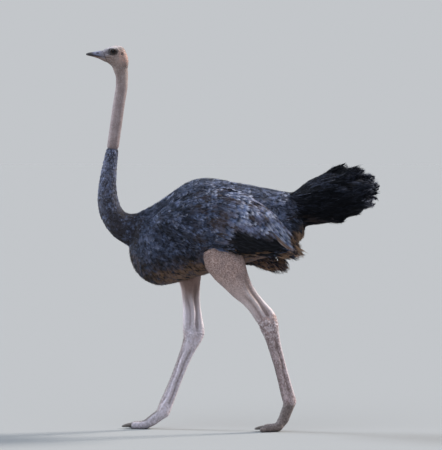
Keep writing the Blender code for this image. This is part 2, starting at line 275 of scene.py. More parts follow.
class Guide:
    # a closed surface that points are laid on

    def __init__(self, mesh):
        mesh.calc_loop_triangles()
        corners = np.empty(len(mesh.loop_triangles) * 3, np.int32)
        mesh.loop_triangles.foreach_get("vertices", corners)
        self.corners = corners.reshape(-1, 3)
        self.points, self.normals = readPoints(mesh)
        self.tree = BVHTree.FromPolygons(self.points.tolist(), self.corners.tolist())
        spans = self.points[self.corners]
        sheets = np.cross(spans[:, 1] - spans[:, 0], spans[:, 2] - spans[:, 0])
        self.areas = np.linalg.norm(sheets, axis=1) / 2
        self.middles = spans.mean(1)

    def laid(self, wanted):
        # the nearest places on the surface, and their normals
        found = [self.tree.find_nearest(point) for point in wanted.tolist()]
        places = np.array([hit[0][:] for hit in found])
        faces = np.array([hit[2] for hit in found])
        return places, unit(self.normals[self.corners[faces]].mean(1))

    def gaps(self, points):
        # how far each point stands from the surface
        return np.array([self.tree.find_nearest(point)[3] for point in points.tolist()])

    def hit(self, start, way, far):
        # how far each ray goes before it meets the surface, or far
        reached = [self.tree.ray_cast(a, b, far)[3] for a, b in zip(start.tolist(), way.tolist())]
        return np.array([far if span is None else span for span in reached])

    def spots(self, gap, chosen, rng, tries=4.0):
        # places about gap apart over the chosen part of the surface
        kept = np.nonzero(chosen(self.middles, self.normals[self.corners].mean(1)))[0]
        weight = self.areas[kept] / gap**2
        order = rng.choice(len(kept), int(weight.sum() * tries), p=weight / weight.sum())
        mix = rng.random((len(order), 2))
        over = mix.sum(1) > 1
        mix[over] = 1 - mix[over]
        mix = np.column_stack([1 - mix.sum(1), mix])[:, :, None]
        corners = self.corners[kept[order]]
        places = (self.points[corners] * mix).sum(1)
        picked = thinned(places, gap)
        return places[picked], unit((self.normals[corners] * mix).sum(1))[picked]


def thinned(places, gap):
    # the places that stand clear of those already taken
    taken = {}
    picked = []
    beside = [(i, j, k) for i in (-1, 0, 1) for j in (-1, 0, 1) for k in (-1, 0, 1)]
    rows = zip(places.tolist(), np.floor(places / gap).astype(int).tolist())
    for index, ((x, y, z), (a, b, c)) in enumerate(rows):
        if not any(
            (px - x) ** 2 + (py - y) ** 2 + (pz - z) ** 2 < gap * gap
            for i, j, k in beside
            for px, py, pz in taken.get((a + i, b + j, c + k), ())
        ):
            taken.setdefault((a, b, c), []).append((x, y, z))
            picked.append(index)
    return np.array(picked, int)


# The studio: floor, light and camera.

studio = {
    "cameraAt": (-0.064, -20.0, 1.75),
    "cameraAim": (-0.064, 0.0, 1.0135),
    "lens": 325,
    "floorReach": 60.0,
    "backdrop": (0.545, 0.565, 0.590),
    "sky": (0.30, 0.335, 0.40),
}
lamps = {
    # direction that the light comes from, spread in degrees, strength, colour
    "key": ((-0.30, -0.75, 1.10), 60, 1.28, (0.86, 0.93, 1.0)),
    "warmRim": ((0.88, 0.40, 0.66), 12, 5.2, (1.0, 0.94, 0.87)),
    "coolRim": ((-0.90, 0.36, 0.55), 18, 3.5, (0.82, 0.90, 1.0)),
}


def aimed(piece, at, towards):
    piece.location = at
    way = Vector(towards) - Vector(at)
    piece.rotation_euler = way.to_track_quat("-Z", "Y").to_euler()
    return piece


def setStudio():
    scene = bpy.context.scene
    camera = bpy.data.cameras.new("camera")
    camera.lens = studio["lens"]
    camera.sensor_width = 36
    camera.clip_end = 100
    scene.camera = aimed(addPiece("camera", camera), studio["cameraAt"], studio["cameraAim"])
    scene.view_settings.view_transform = "Standard"

    # the camera sees the backdrop, and the light of the sky falls on the bird
    scene.world = bpy.data.worlds.new("studio")
    scene.world.use_nodes = True
    tree = scene.world.node_tree
    sky = tree.nodes["Background"]
    behind = tree.nodes.new("ShaderNodeBackground")
    for node, colour in ((sky, "sky"), (behind, "backdrop")):
        node.inputs["Color"].default_value = (*studio[colour], 1)
    path = tree.nodes.new("ShaderNodeLightPath")
    either = tree.nodes.new("ShaderNodeMixShader")
    choice = path.outputs["Is Camera Ray"], sky.outputs[0], behind.outputs[0]
    for output, socket in zip(choice, either.inputs):
        tree.links.new(output, socket)
    tree.links.new(either.outputs[0], tree.nodes["World Output"].inputs[0])

    floorLight = np.array(studio["sky"])
    for name, (source, spread, strength, colour) in lamps.items():
        lamp = bpy.data.lights.new(name, "SUN")
        lamp.angle = math.radians(spread)
        lamp.energy = strength
        lamp.color = colour
        aimed(addPiece(name, lamp), source, (0, 0, 0))
        floorLight += np.array(colour) * strength * Vector(source).normalized().z / math.pi

    # the floor is as bright as the backdrop, so no edge shows between them
    bm = bmesh.new()
    bmesh.ops.create_circle(bm, cap_ends=True, segments=96, radius=studio["floorReach"])
    mesh = meshFrom(bm, "floor")
    colour = tuple(studio["backdrop"] / floorLight)
    mesh.materials.append(Finish("floorPaint", 1.0, Base_Color=colour, Specular_IOR_Level=0.0).material)
    addPiece("floor", mesh)
    print("studio set")


setStudio()


# One skin under the plumage. It is drawn in from the solids by the depth of the coat.

skinMake = {
    "voxel": 0.004,
    "fineAbove": 1.80,
    "coat": {"trunk": 0.024, "neck_feathered": 0.009, "neck_bare": 0.001, "head": 0.0004},
    "wingArm": (0.80, 0.55, 0.72),
    "hiddenKept": 0.05,
    "thighKept": 0.35,
    "tailStump": ((0.335, 0, 1.105), (0.085, 0.050, 0.055)),
    "billCore": ((-0.615, 0, 1.848), (0.80, 0.80, 0.84)),
}
eye = {
    "at": (-0.593, 0.0205, 1.866),
    "round": 0.0210,
    "deep": 0.0180,
    "lidThick": 0.0012,
    "openLong": 0.0150,
    "openHigh": 0.0118,
    "tilt": math.radians(-7),
}
face = {
    # places forward and up; forms have a reach forward and up, and how far they stand out
    "forms": {
        "lore": (0.016, 0.010, -0.0030),
        "cheek": (0.030, 0.020, 0.0018),
        "temple": (0.020, 0.013, -0.0018),
    },
    "brow": 0.0030,
    "pouch": 0.0012,
    "earHole": (0.0075, 0.0100),
    "earRim": (0.0125, 0.0155),
    "earDeep": 0.0050,
    "earRimHigh": 0.0012,
    "lips": 0.0009,
    "gapeDeep": 0.0022,
    "gape": ((-0.640, 1.8405), (-0.598, 1.8335)),
    "ear": (-0.549, 1.8550),
    "lore": (-0.626, 1.858),
    "cheek": (-0.578, 1.822),
    "temple": (-0.557, 1.880),
    "ring": (-0.6015, 1.8665),
}
bill = {
    "voxel": 0.0009,
    "clawVoxel": 0.0010,
    # how far the horn and each of its forms stand out
    "cover": 0.0002,
    "nostrilDeep": 0.0022,
    "nostrilRim": 0.0006,
    "ridge": 0.0009,
    "nail": 0.0004,
    "groove": 0.0005,
    "edge": 0.0003,
    "rootDeep": 0.0021,
    "clawRidge": 0.0002,
    "nostril": (-0.6695, 1.8600),
    "mouth": ((-0.728, 1.8530), (-0.608, 1.8365)),
    "mouthSlope": 0.1375,
    "mouthLevel": 1.7529,
    "rootColour": (0.185, 0.165, 0.190),
    "throatColour": (0.235, 0.172, 0.155),
    "clawColours": ((0.055, 0.045, 0.042), (0.20, 0.17, 0.155)),
}
legBits = ("drumstick", "hock", "tarsus", "toe_big", "toe_small")
legNames = [f"{part}_{side}" for part in legBits for side in sides]
bodyNames = ["trunk", "neck_feathered", "neck_bare", "head", *legNames]
allPoints, allCorners, allLabels = [], [], []
for name in [*bodyNames, "wing_left", "wing_right"]:
    solid = Guide(nodes[name].data)
    allCorners += (solid.corners + len(allPoints)).tolist()
    allPoints += solid.points.tolist()
    allLabels += [name] * len(solid.corners)
solidTree = BVHTree.FromPolygons(allPoints, allCorners)
allLabels = np.array(allLabels)


def labelsOf(points):
    # the name of the solid nearest to each point
    return allLabels[[solidTree.find_nearest(point)[2] for point in points.tolist()]]


def labelled(bm):
    return labelsOf(np.array([vert.co[:] for vert in bm.verts]))


def biggestPart(bm):
    # drops every loose part but the one with most points
    seen = set()
    parts = []
    for vert in bm.verts:
        if vert in seen:
            continue
        part = [vert]
        seen.add(vert)
        for reached in part:
            for edge in reached.link_edges:
                other = edge.other_vert(reached)
                if other not in seen:
                    seen.add(other)
                    part.append(other)
        parts.append(part)
    parts.sort(key=len)
    for part in parts[:-1]:
        bmesh.ops.delete(bm, geom=part, context="VERTS")
    return bm


def placed(bm, verts, scale, at, centre=(0, 0, 0)):
    bmesh.ops.translate(bm, verts=verts, vec=-Vector(centre))
    bmesh.ops.scale(bm, verts=verts, vec=scale)
    bmesh.ops.translate(bm, verts=verts, vec=Vector(centre) + Vector(at))


def spread(values, edges, rounds):
    # values evened out along the edges of a mesh
    values = values.astype(float)
    count = np.bincount(edges.ravel(), minlength=len(values))[:, None] + 1.0
    shape = values.reshape(len(values), -1)
    for _ in range(rounds):
        total = shape.copy()
        np.add.at(total, edges[:, 0], shape[edges[:, 1]])
        np.add.at(total, edges[:, 1], shape[edges[:, 0]])
        shape = total / count
    return shape.reshape(values.shape)


def edgesOf(mesh):
    ends = np.empty(len(mesh.edges) * 2, np.int32)
    mesh.edges.foreach_get("vertices", ends)
    return ends.reshape(-1, 2)


def setAttribute(mesh, name, values):
    made = mesh.attributes.new(name, "FLOAT_VECTOR", "POINT")
    made.data.foreach_set("vector", np.ascontiguousarray(values, np.float32).ravel())


def refined(bm, verts, cuts, rounds=3):
    # the faces round those points, cut finer and evened out
    chosen = set(verts)
    edges = [edge for edge in bm.edges if edge.verts[0] in chosen and edge.verts[1] in chosen]
    made = bmesh.ops.subdivide_edges(bm, edges=edges, cuts=cuts, use_grid_fill=True)
    fresh = {item for item in made["geom"] if isinstance(item, bmesh.types.BMVert)}
    evened(bm, list(fresh | {vert for vert in chosen if vert.is_valid}), rounds)


def lidHeight(dx, dz, extra=0.0):
    # how far the outside of the eye, or of a lid over it, stands from the middle plane
    share = 1 - (dx**2 + dz**2) / (eye["round"] + extra) ** 2
    return eye["at"][1] + (eye["deep"] + extra) * np.sqrt(np.maximum(share, 0.0))


def tilted(u, w, way=1):
    # distances forward and up, turned with the slant of the lids, or back
    c, s = math.cos(eye["tilt"]), math.sin(eye["tilt"]) * way
    return u * c - w * s, u * s + w * c


def eyeFrame(points):
    # distances forward and up from the eye's middle, along the lids
    return tilted(points[:, 0] - eye["at"][0], points[:, 2] - eye["at"][2], -1)


def near(points, place, wide, high):
    # 1 at a place on both cheeks and 0 beyond its reach
    gap = ((points[:, 0] - place[0]) / wide) ** 2 + ((points[:, 2] - place[1]) / high) ** 2
    return ramp(gap, 1, 0)


def lineGap(points, ends):
    # distance from a line across both cheeks
    a, b = np.array(ends[0]), np.array(ends[1])
    flat = points[:, [0, 2]] - a
    share = np.clip(flat @ (b - a) / ((b - a) @ (b - a)), 0, 1)
    return np.linalg.norm(flat - share[:, None] * (b - a), axis=1), share


def carveHead(points, normals, isHead):
    # brow, lids, lore, cheek, ear and gape; returns the new points and how dark each is painted: painted
    # shade in the gape and ear hole, and round the eye dark lid skin with painted shade under the brow
    side = np.sign(points[:, 1])
    width = np.abs(points[:, 1])
    facing = ramp(np.abs(normals[:, 1]), 0.15, 0.6) * isHead
    u, w = eyeFrame(points)
    ring = np.sqrt((u / eye["openLong"]) ** 2 + (w / eye["openHigh"]) ** 2)
    brow = bell(ring, 0.38, 1.75) * ramp(w, 0.001, 0.009)
    pouch = bell(ring, 0.18, 1.62) * ramp(-w, 0.002, 0.008)
    push = face["brow"] * brow - face["pouch"] * pouch
    for name, (wide, high, height) in face["forms"].items():
        push += height * near(points, face[name], wide, high)
    earHole = near(points, face["ear"], *face["earHole"])
    earRim = near(points, face["ear"], *face["earRim"]) - earHole
    push += face["earRimHigh"] * earRim - face["earDeep"] * earHole
    gap, share = lineGap(points, face["gape"])
    gape = bell(gap, 0.0017)
    lips = bell(gap, 0.0020, 0.0045)
    push += face["lips"] * lips - face["gapeDeep"] * gape * (1 - 0.5 * share)
    points = points + normals * (push * facing)[:, None]

    # lids lie on the eye, and what is inside their opening drops behind it
    ring = np.where((facing > 0.02) & (width > 0.012), ring, 9.0)
    rim = (ring > 0.86) & (ring < 1.14)
    scale = np.where(rim, 1 / ring, 1.0)
    u, w = u * scale, w * scale
    forward, up = tilted(u, w)
    points[rim, 0] = eye["at"][0] + forward[rim]
    points[rim, 2] = eye["at"][2] + up[rim]
    lid = lidHeight(u, w, eye["lidThick"])
    behind = lidHeight(u, w) - 0.0005 - 0.006 * ramp(1 - ring, 0.05, 0.35)
    lying = 1 - ramp(ring, 1.25, 2.0)
    width = np.abs(points[:, 1])
    draped = width + (np.maximum(lid, 0.030) - width) * lying
    points[:, 1] = np.where(ring < 1.0, behind, np.where(ring < 3, draped, width)) * side
    # the gape crease and the ear hole are painted dark as shade; round the eye the dark is partly the lids'
    # own skin, partly painted shade under the brow
    dark = np.clip(0.9 * gape * (1 - share) + 0.75 * earHole, 0, 1) * facing
    return points, np.maximum(dark, 0.85 * (1 - ramp(ring, 1.05, 1.55)) * facing)


def drawnIn(bm):
    # the body with trunk and neck drawn in by the depth of their feathers, a little at a time
    mesh = meshFrom(bm, "drawn")
    points = readPoints(mesh)[0]
    edges = edgesOf(mesh)
    coat = skinMake["coat"]
    depth = spread(np.array([coat.get(label, 0.0) for label in labelsOf(points)]), edges, 8)
    soft = ramp(depth, 0.004, 0.012)[:, None]
    rounds = 6
    for _ in range(rounds):
        moved = points - readPoints(mesh)[1] * (depth / rounds)[:, None]
        points = moved + (spread(moved, edges, 1) - moved) * soft
        writePoints(mesh, points)
    out = bmesh.new()
    out.from_mesh(mesh)
    return out


def thinnedOut(bm):
    # fewer faces where feathers hide the skin, and on the thighs
    regions = (("trunk", "wing"), skinMake["hiddenKept"]), ("drumstick", skinMake["thighKept"])
    for starts, kept in regions:
        group = np.array([label.startswith(starts) for label in labelled(bm)])
        ratio = 1 - group.sum() * (1 - kept) / len(group)
        bm = modified(bm, "DECIMATE", group=np.nonzero(group)[0], ratio=float(ratio))
    return bm


legs = {
    # forward, out from the middle plane, and up
    "left": {"knee": (-0.085, 0.120, 0.930), "hock": (0.168, 0.100, 0.535), "ball": (0.275, 0.062, 0.140)},
    "right": {"knee": (-0.222, 0.120, 0.930), "hock": (-0.199, 0.110, 0.465), "ball": (-0.354, 0.088, 0.078)},
}
cords = {
    # along the bone from and to, angle round it from the front, width of angle, height: ridges and grooves
    "drumstick": [
        (0.42, 1.00, 158, 20, 0.0055), (0.38, 0.99, 122, 17, -0.0085), (0.48, 1.00, 92, 13, 0.0042),
        (0.50, 0.97, 62, 13, -0.0048), (0.55, 1.00, 25, 20, 0.0026), (0.05, 0.50, 96, 16, -0.0026),
    ],
    "tarsus": [
        (0.00, 1.00, 170, 24, 0.0036), (0.06, 0.93, 122, 17, -0.0058), (0.10, 0.95, 84, 15, 0.0020),
        (0.08, 0.95, 52, 10, -0.0024),
    ],
}
hockMake = {"knob": 0.0050, "knobWide": 0.014, "dip": 0.5, "dipAt": 0.023, "folds": 0.0010, "foldSpan": 0.050}


def legPoint(side, name):
    x, y, z = legs[side][name]
    return np.array((x, sides[side] * y, z))


def legParts(points):
    # for each leg: its side, which points are on it, its knee, its hock and the ball of its foot
    for side, sign in sides.items():
        mine = (points[:, 1] * sign > 0) & (points[:, 2] < 1.0)
        yield side, mine, *(legPoint(side, name) for name in legs[side])


def forwardOf(axis):
    # the way across a bone that faces forwards
    way = np.array((axis[2], 0, -axis[0]))
    return -way * np.sign(way[0])


def legShares(points, normals):
    # how far down to the scales each point is, and whether it faces inwards or forwards
    scaly, inner, front = np.zeros((3, len(points)))
    for side, mine, knee, joint, ball in legParts(points):
        down = (points - knee) @ (joint - knee) / np.dot(joint - knee, joint - knee)
        scaly[mine] = ramp(down, 0.72, 1.02)[mine]
        inner[mine] = ramp(-normals[:, 1] * sides[side], -0.1, 0.8)[mine]
        front[mine] = ramp(normals @ forwardOf(unit(ball - joint)), 0.35, 0.85)[mine]
    return scaly, inner, front


def carveLegs(points, normals, drumstick, hock, shank):
    # tendons, the joint's knobs and the folds across it; returns the new points and their relief
    push, relief = np.zeros((2, len(points)))
    limb = drumstick + hock + shank
    for side, mine, knee, joint, ball in legParts(points):
        bones = ("drumstick", knee, joint, drumstick), ("tarsus", joint, ball, shank)
        for bone, start, end, share in bones:
            length = np.linalg.norm(end - start)
            axis = (end - start) / length
            away = points - start
            along = away @ axis / length
            away = away - (away @ axis)[:, None] * axis
            turn = np.degrees(np.arctan2(np.abs(away[:, 1]), away @ unit(forwardOf(axis))))
            turn += 5 * np.sin(along * 9 + start[0] * 40) + 3 * np.sin(along * 23)
            reach = mine * np.clip(share + hock, 0, 1)
            for low, high, angle, wide, height in cords[bone]:
                fade = ramp(along, low, low + 0.18) * ramp(along, high, high - 0.10)
                push += reach * fade * height * bell(turn, wide, angle)
        relief = np.where(mine, push, relief)
        away = points - joint
        reach = np.hypot((away[:, 0] + 0.004) * 0.85, away[:, 2] - 0.004 + away[:, 0] * 0.25)
        knob = bell(reach, hockMake["knobWide"]) - hockMake["dip"] * bell(reach, 0.007, hockMake["dipAt"])
        push += mine * limb * hockMake["knob"] * knob * np.abs(normals[:, 1])
        cross = np.sin(away[:, 2] * 430 + away[:, 0] * 160 + 2.0 * np.sin(away[:, 1] * 90))
        push += mine * limb * hockMake["folds"] * cross * bell(away[:, 2], hockMake["foldSpan"], 0.01)
    return points + normals * push[:, None], relief * 0.7 + push * 0.3


def addSolid(bm, name, scale, centre):
    # one more solid in the bmesh, scaled about a point
    old = len(bm.verts)
    bm.from_mesh(meshFrom(solidCopy(name), "core"))
    bm.verts.ensure_lookup_table()
    placed(bm, bm.verts[old:], scale, (0, 0, 0), centre)


def makeSkin():
    bm = gathered([*bodyNames, "eye_left", "eye_right"])
    centre, shrink = skinMake["billCore"]
    for name in ("bill_upper", "bill_lower"):
        addSolid(bm, name, shrink, centre)
    bm = drawnIn(biggestPart(remeshed(bm, skinMake["voxel"])))
    for side in sides:
        low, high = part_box(f"wing_{side}")
        middle = (low + high) / 2
        middle.y = low.y if side == "right" else high.y
        addSolid(bm, f"wing_{side}", skinMake["wingArm"], middle)
    at, reach = skinMake["tailStump"]
    made = bmesh.ops.create_uvsphere(bm, u_segments=24, v_segments=16, radius=1)
    placed(bm, made["verts"], reach, at)
    bm = thinnedOut(biggestPart(remeshed(bm, skinMake["voxel"], 2)))
    labels = labelled(bm)
    verts = list(bm.verts)
    fineAbove = skinMake["fineAbove"]
    refined(bm, [vert for vert, label in zip(verts, labels) if label == "head" or vert.co.z > fineAbove], 2)
    refined(bm, [vert for vert, label in zip(verts, labels) if label.startswith("toe")], 1)
    bmesh.ops.triangulate(bm, faces=[item for item in bm.faces if len(item.verts) > 4])
    mesh = meshFrom(bm, "skin")

    points, normals = readPoints(mesh)
    names = ["trunk", "wing", "neck_feathered", "head", "drumstick", "hock", "tarsus", "toe"]
    parts = np.array([[label.startswith(name) for name in names] for label in labelsOf(points)], float)
    parts = spread(parts, edgesOf(mesh), 5)
    trunk, wing, neck, head, drumstick, hock, tarsus, toe = parts.T
    points, dark = carveHead(points, normals, ramp(head, 0.2, 0.9) * (points[:, 0] > -0.66))
    points, relief = carveLegs(points, normals, drumstick, hock, tarsus)
    points[:, 2] = np.maximum(points[:, 2], 0.0)
    writePoints(mesh, points)
    mesh.calc_loop_triangles()
    scaly, inner, front = legShares(points, normals)
    scaly = np.clip(np.maximum(tarsus + toe, scaly * (drumstick + hock)), 0, 1)
    setAttribute(mesh, "bald", np.column_stack([head, drumstick + hock + tarsus + toe, scaly]))
    setAttribute(mesh, "sides", np.column_stack([inner, front, relief / 0.005]))
    # marks: how dark the head is painted (painted shade in the gape and ear hole, round the eye), the share
    # under the coat that is painted dark as shade, and the toes
    setAttribute(mesh, "marks", np.column_stack([dark, trunk + wing + neck, toe]))
    print("skin made:", len(mesh.loop_triangles), "triangles")
    return mesh


# The skin's finish: fine scaly neck, dappled thighs, scales on the shanks.

skinColours = {
    "neck": ((0.200, 0.148, 0.148), (0.355, 0.280, 0.284)),
    "head": ((0.155, 0.105, 0.090), (0.370, 0.290, 0.265)),
    # dark skin round the eye, darkened further as painted shade under the brow
    "eyeRingAndBrowShade": (0.013, 0.009, 0.010),
    # pale crown skin, made paler still as painted rim light on the top of the head
    "crown": (0.58, 0.530, 0.545),
    "nape": (0.53, 0.300, 0.240),
    # painted light on the inner side of the legs
    "litInnerLeg": (0.74, 0.68, 0.77),
    "thigh": ((0.215, 0.130, 0.108), (0.610, 0.450, 0.415)),
    "shin": (0.62, 0.51, 0.51),
    "shank": ((0.215, 0.150, 0.145), (0.625, 0.495, 0.520)),
    # painted highlight on the tendons and the hock's bumps
    "ridge": (0.76, 0.70, 0.735),
    # painted shade in the grooves between the tendons
    "groove": (0.115, 0.070, 0.058),
    "foot": ((0.115, 0.085, 0.078), (0.270, 0.215, 0.205)),
    # painted shade in the gape and ear hole, and dark lid skin with painted shade round the eye
    "dark": (0.022, 0.016, 0.015),
    # painted shade on the skin under the coat of feathers
    "hidden": (0.05, 0.045, 0.050),
    "join": (0.08, 0.06, 0.06),
    "hockPatch": (0.36, 0.175, 0.125),
    "thighPatch": (0.30, 0.25, 0.26),
    # painted shade down the front of the shank
    "shankFrontShade": (0.070, 0.050, 0.046),
}


def skinFinish():
    hide = Finish("hide", 0.62, Subsurface_Weight=0.05, Subsurface_Radius=(0.006, 0.003, 0.002))
    paint = skinColours
    head, limb, shank = hide.attribute("bald")
    inner, front, relief = hide.attribute("sides")
    dark, hidden, toes = hide.attribute("marks")
    thigh = (limb - shank).clamped()
    x, y, z = hide.split(hide.place())
    clouds, fine = hide.noise(22.0, 4), hide.noise(160.0, 4)
    drift, grit = clouds - 0.5, fine - 0.5

    # neck: rings of fine scales with soft folds across it
    folds = hide.noise(34.0, 3, (0.7, 0.7, 3.2), 0.4)
    pebbles = hide.cells(430.0)
    neck = hide.blend((clouds * 0.5 + fine * 0.5).step(0.32, 0.68), *paint["neck"])

    # head: pale crown, partly painted rim light; reddish nape and ear; dark skin round the eye with painted
    # brow shade over it; and a muzzle that runs into the bill
    # the top of the head is painted paler: partly the crown's pale skin, partly painted rim light
    crown = (z - x * 0.25 + drift * 0.012).step(2.014, 2.038)
    nape = (x - z * 0.35 + drift * 0.05).step(-1.215, -1.165) * z.step(1.78, 1.84) * head * 0.8
    # a dark patch round the eye: partly its dark skin, partly painted shade under the brow
    ring = oval(x, z, face["ring"], 36.0, 66.0) + drift * 0.4
    ear = oval(x, z, face["ear"], 52.0, 42.0)
    muzzle = (x + z * 0.12 + drift * 0.014).step(-0.380, -0.412)
    headSkin = hide.layers(
        hide.blend((clouds * 0.7 + fine * 0.5 - 0.1).step(0.3, 0.7), *paint["head"]),
        (crown * 0.85, paint["crown"]),
        (nape.clamped(), paint["nape"]),
        (ring.step(1.55, 0.80) * 0.93, paint["eyeRingAndBrowShade"]),
        (ear.step(1.6, 0.2) * 0.4, paint["nape"]),
        (muzzle * z.step(1.838, 1.850) * 0.9, bill["rootColour"]),
        (muzzle * z.step(1.844, 1.834) * 0.8, bill["throatColour"]),
    )

    # thighs: pimples where feathers would grow, dark between, and paler towards the shin; the inner side is
    # painted pale as light, and painted shadow of the feathers darkens the top of it
    pimples = hide.cells(210.0, feature="SMOOTH_F1")
    dapple = (pimples * 0.95 + grit * 0.45 + drift * 0.5).step(0.06, 0.66)
    thighSkin = hide.layers(
        hide.blend(dapple, paint["thigh"][1], paint["thigh"][0]),
        ((z.step(0.80, 0.60) * 0.75 * (fine * 0.6 + 0.7)).clamped(), paint["shin"]),
        (clouds.step(0.42, 0.66) * 0.3, paint["thighPatch"]),
        # painted light: the inner side of the thigh is painted pale
        (inner * z.step(0.72, 0.54) * 0.65, paint["litInnerLeg"]),
        # painted shadow of the feathers on the top of the inner thigh
        (inner * z.step(0.58, 0.72) * 0.85, paint["thigh"][0]),
    )

    # shanks and toes: many-sided scales with dark joins, reddish at the hock with painted highlights on it,
    # painted shade down the front and painted light on the inner side
    joins = hide.cells(150.0, (1, 1, 0.75), "DISTANCE_TO_EDGE").step(0.10, 0.0)
    tone = hide.add("SeparateColor", {}, {0: hide.cells(150.0, (1, 1, 0.75), out="Color")}, 0)
    scale = (tone * 0.30 + clouds * 0.45 + fine * 0.34).step(0.30, 0.80)
    joint = (((z - 0.50) * 9.0) ** 2).step(1.0, 0.1)
    shankSkin = hide.layers(
        hide.blend(scale, *paint["shank"]),
        (toes, hide.blend(scale, *paint["foot"])),
        (joins * 0.22, paint["join"]),
        (joint * clouds.step(0.50, 0.70) * 0.7, paint["hockPatch"]),
        # painted highlights: pale specks on the hock
        (joint * tone.step(0.50, 0.95) * 0.42, paint["ridge"]),
        # painted shade: the front of the shank, low down, is painted darker
        (front * z.step(0.50, 0.42) * 0.50, paint["shankFrontShade"]),
        # painted light: the inner side of the shank is painted pale
        (inner * (1 - front) * (0.45 + tone * 0.4), paint["litInnerLeg"]),
    )
    # tendon ridges are painted pale as highlights, and the grooves between them painted dark as shade
    raised = relief + grit * 0.5
    leg = hide.layers(
        thighSkin,
        (shank, shankSkin),
        (raised.step(0.10, 0.95) * 0.60, paint["ridge"]),
        (raised.step(-0.10, -1.15) * 0.50, paint["groove"]),
    )

    upper = (z + drift * 0.10).step(1.60, 1.83)
    # skin under the trunk, wing and neck feathers is painted dark as their shade
    colour = hide.layers(
        neck, (upper, headSkin), (limb, leg), (hidden, paint["hidden"]), (dark, paint["dark"])
    )
    height = (folds * 1.2 + (1 - pebbles) * 0.25 + fine * 0.3) * (1 - limb).clamped()
    height = height + (1 - pimples.step(0.0, 0.55)) * 1.6 * thigh + fine * 0.4 * thigh
    height = height + (1 - joins) * 0.9 * shank + fine * 0.2 * shank
    rough = 0.72 - shank * 0.14 - (1 - joins) * shank * 0.06 + grit * 0.2
    return hide.shade(Base_Color=colour, Roughness=rough, Normal=hide.bump(height, 0.0011))


skinMesh = makeSkin()
dressed("skin", skinMesh, skinFinish(), "bare_skin", "wing_left", "wing_right", *bodyNames)
skinGuide = Guide(skinMesh)


# Eyes, lids and lashes.

eyeMake = {
    "pupil": 0.0078,
    "pupilColour": (0.003, 0.003, 0.004),
    "iris": 0.0128,
    "irisColours": ((0.010, 0.005, 0.003), (0.042, 0.019, 0.010)),
    "irisEdge": (0.010, 0.008, 0.007),
    "lidRim": 0.00105,
    "rimPoints": 56,
    "lidColours": ((0.035, 0.028, 0.027), (0.100, 0.082, 0.078)),
    "lashes": 34,
    "lashLength": 0.0085,
    "lashThick": (0.00028, 0.00004),
}


def eyeFinish():
    ball = Finish("eyeBall", 0.05, Coat_Weight=0.0, Specular_IOR_Level=0.42, IOR=1.36)
    x, y, z = ball.split(ball.place())
    dx, dz = x - eye["at"][0], z - eye["at"][2]
    away = (dx * dx + dz * dz) ** 0.5
    turn = dz.maths("ARCTAN2", dx)
    streaks = ball.noise(9.0, 3, ball.add("CombineXYZ", {}, {0: turn * 3.0, 1: away * 120.0}))
    iris = ball.blend(streaks, *eyeMake["irisColours"])
    iris = ball.blend(away.step(0.0105, eyeMake["iris"]), iris, eyeMake["irisEdge"])
    black = away.step(eyeMake["pupil"] - 0.0004, eyeMake["pupil"] + 0.0004)
    return ball.shade(Base_Color=ball.blend(black, eyeMake["pupilColour"], iris))


def lidFinish():
    lid = Finish("lidRim", 0.55)
    spots = lid.noise(700.0, 2)
    return lid.shade(Base_Color=lid.blend(spots, *eyeMake["lidColours"]), Normal=lid.bump(spots, 0.0004))


def tube(points, radius):
    # a closed round cord of mesh along some points
    curve = bpy.data.curves.new("tube", "CURVE")
    curve.dimensions = "3D"
    curve.bevel_depth = radius
    curve.bevel_resolution = 3
    spline = curve.splines.new("POLY")
    spline.points.add(len(points) - 1)
    for made, point in zip(spline.points, points):
        made.co = (*point, 1)
    spline.use_cyclic_u = True
    piece = addPiece("tube", curve)
    graph = bpy.context.evaluated_depsgraph_get()
    mesh = bpy.data.meshes.new_from_object(piece.evaluated_get(graph))
    bpy.data.objects.remove(piece)
    return mesh


def lidPoint(turn, sign, out=0.0):
    # a place on the edge of the lids' opening, turning from the front corner over the top
    u = -math.cos(turn) * (eye["openLong"] + out)
    w = math.sin(turn) * (eye["openHigh"] + out)
    y = lidHeight(np.array([u]), np.array([w]), eye["lidThick"] * 0.6)[0]
    forward, up = tilted(u, w)
    return Vector((eye["at"][0] + forward, sign * y, eye["at"][2] + up))


def makeEye(side, ballFinish, rimFinish):
    sign = sides[side]
    low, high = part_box(f"eye_{side}")
    bm = bmesh.new()
    bmesh.ops.create_uvsphere(bm, u_segments=64, v_segments=40, radius=1)
    bmesh.ops.rotate(bm, verts=bm.verts, matrix=Matrix.Rotation(math.pi / 2, 3, "X"))
    placed(bm, bm.verts, (eye["round"], eye["deep"], eye["round"]), (low + high) / 2)
    name = f"eye{side.title()}"
    dressed(name, meshFrom(bm, name), ballFinish, "eye", f"eye_{side}")

    count = eyeMake["rimPoints"]
    ring = [lidPoint(2 * math.pi * i / count, sign) for i in range(count)]
    bm = bmesh.new()
    bm.from_mesh(tube(ring, eyeMake["lidRim"]))
    rng = np.random.default_rng(5)
    thick, thin = eyeMake["lashThick"]
    for i in range(eyeMake["lashes"]):
        turn = math.pi * (0.06 + 0.86 * (i + rng.random() * 0.5) / eyeMake["lashes"])
        root = lidPoint(turn, sign, 0.0004)
        out = (root - Vector((eye["at"][0], 0, eye["at"][2]))).normalized()
        way = Vector((out.x * 0.7 + 0.35, sign * 0.9, out.z * 0.8 - 0.10)).normalized()
        length = eyeMake["lashLength"] * (0.7 + 0.4 * rng.random())
        made = bmesh.ops.create_cone(bm, segments=3, radius1=thick, radius2=thin, depth=length)
        turned = way.to_track_quat("Z", "Y").to_matrix().to_4x4()
        stood = Matrix.Translation(root + way * length / 2) @ turned
        bmesh.ops.transform(bm, verts=made["verts"], matrix=stood)
    name = f"lids{side.title()}"
    dressed(name, meshFrom(bm, name), rimFinish, "bare_skin")


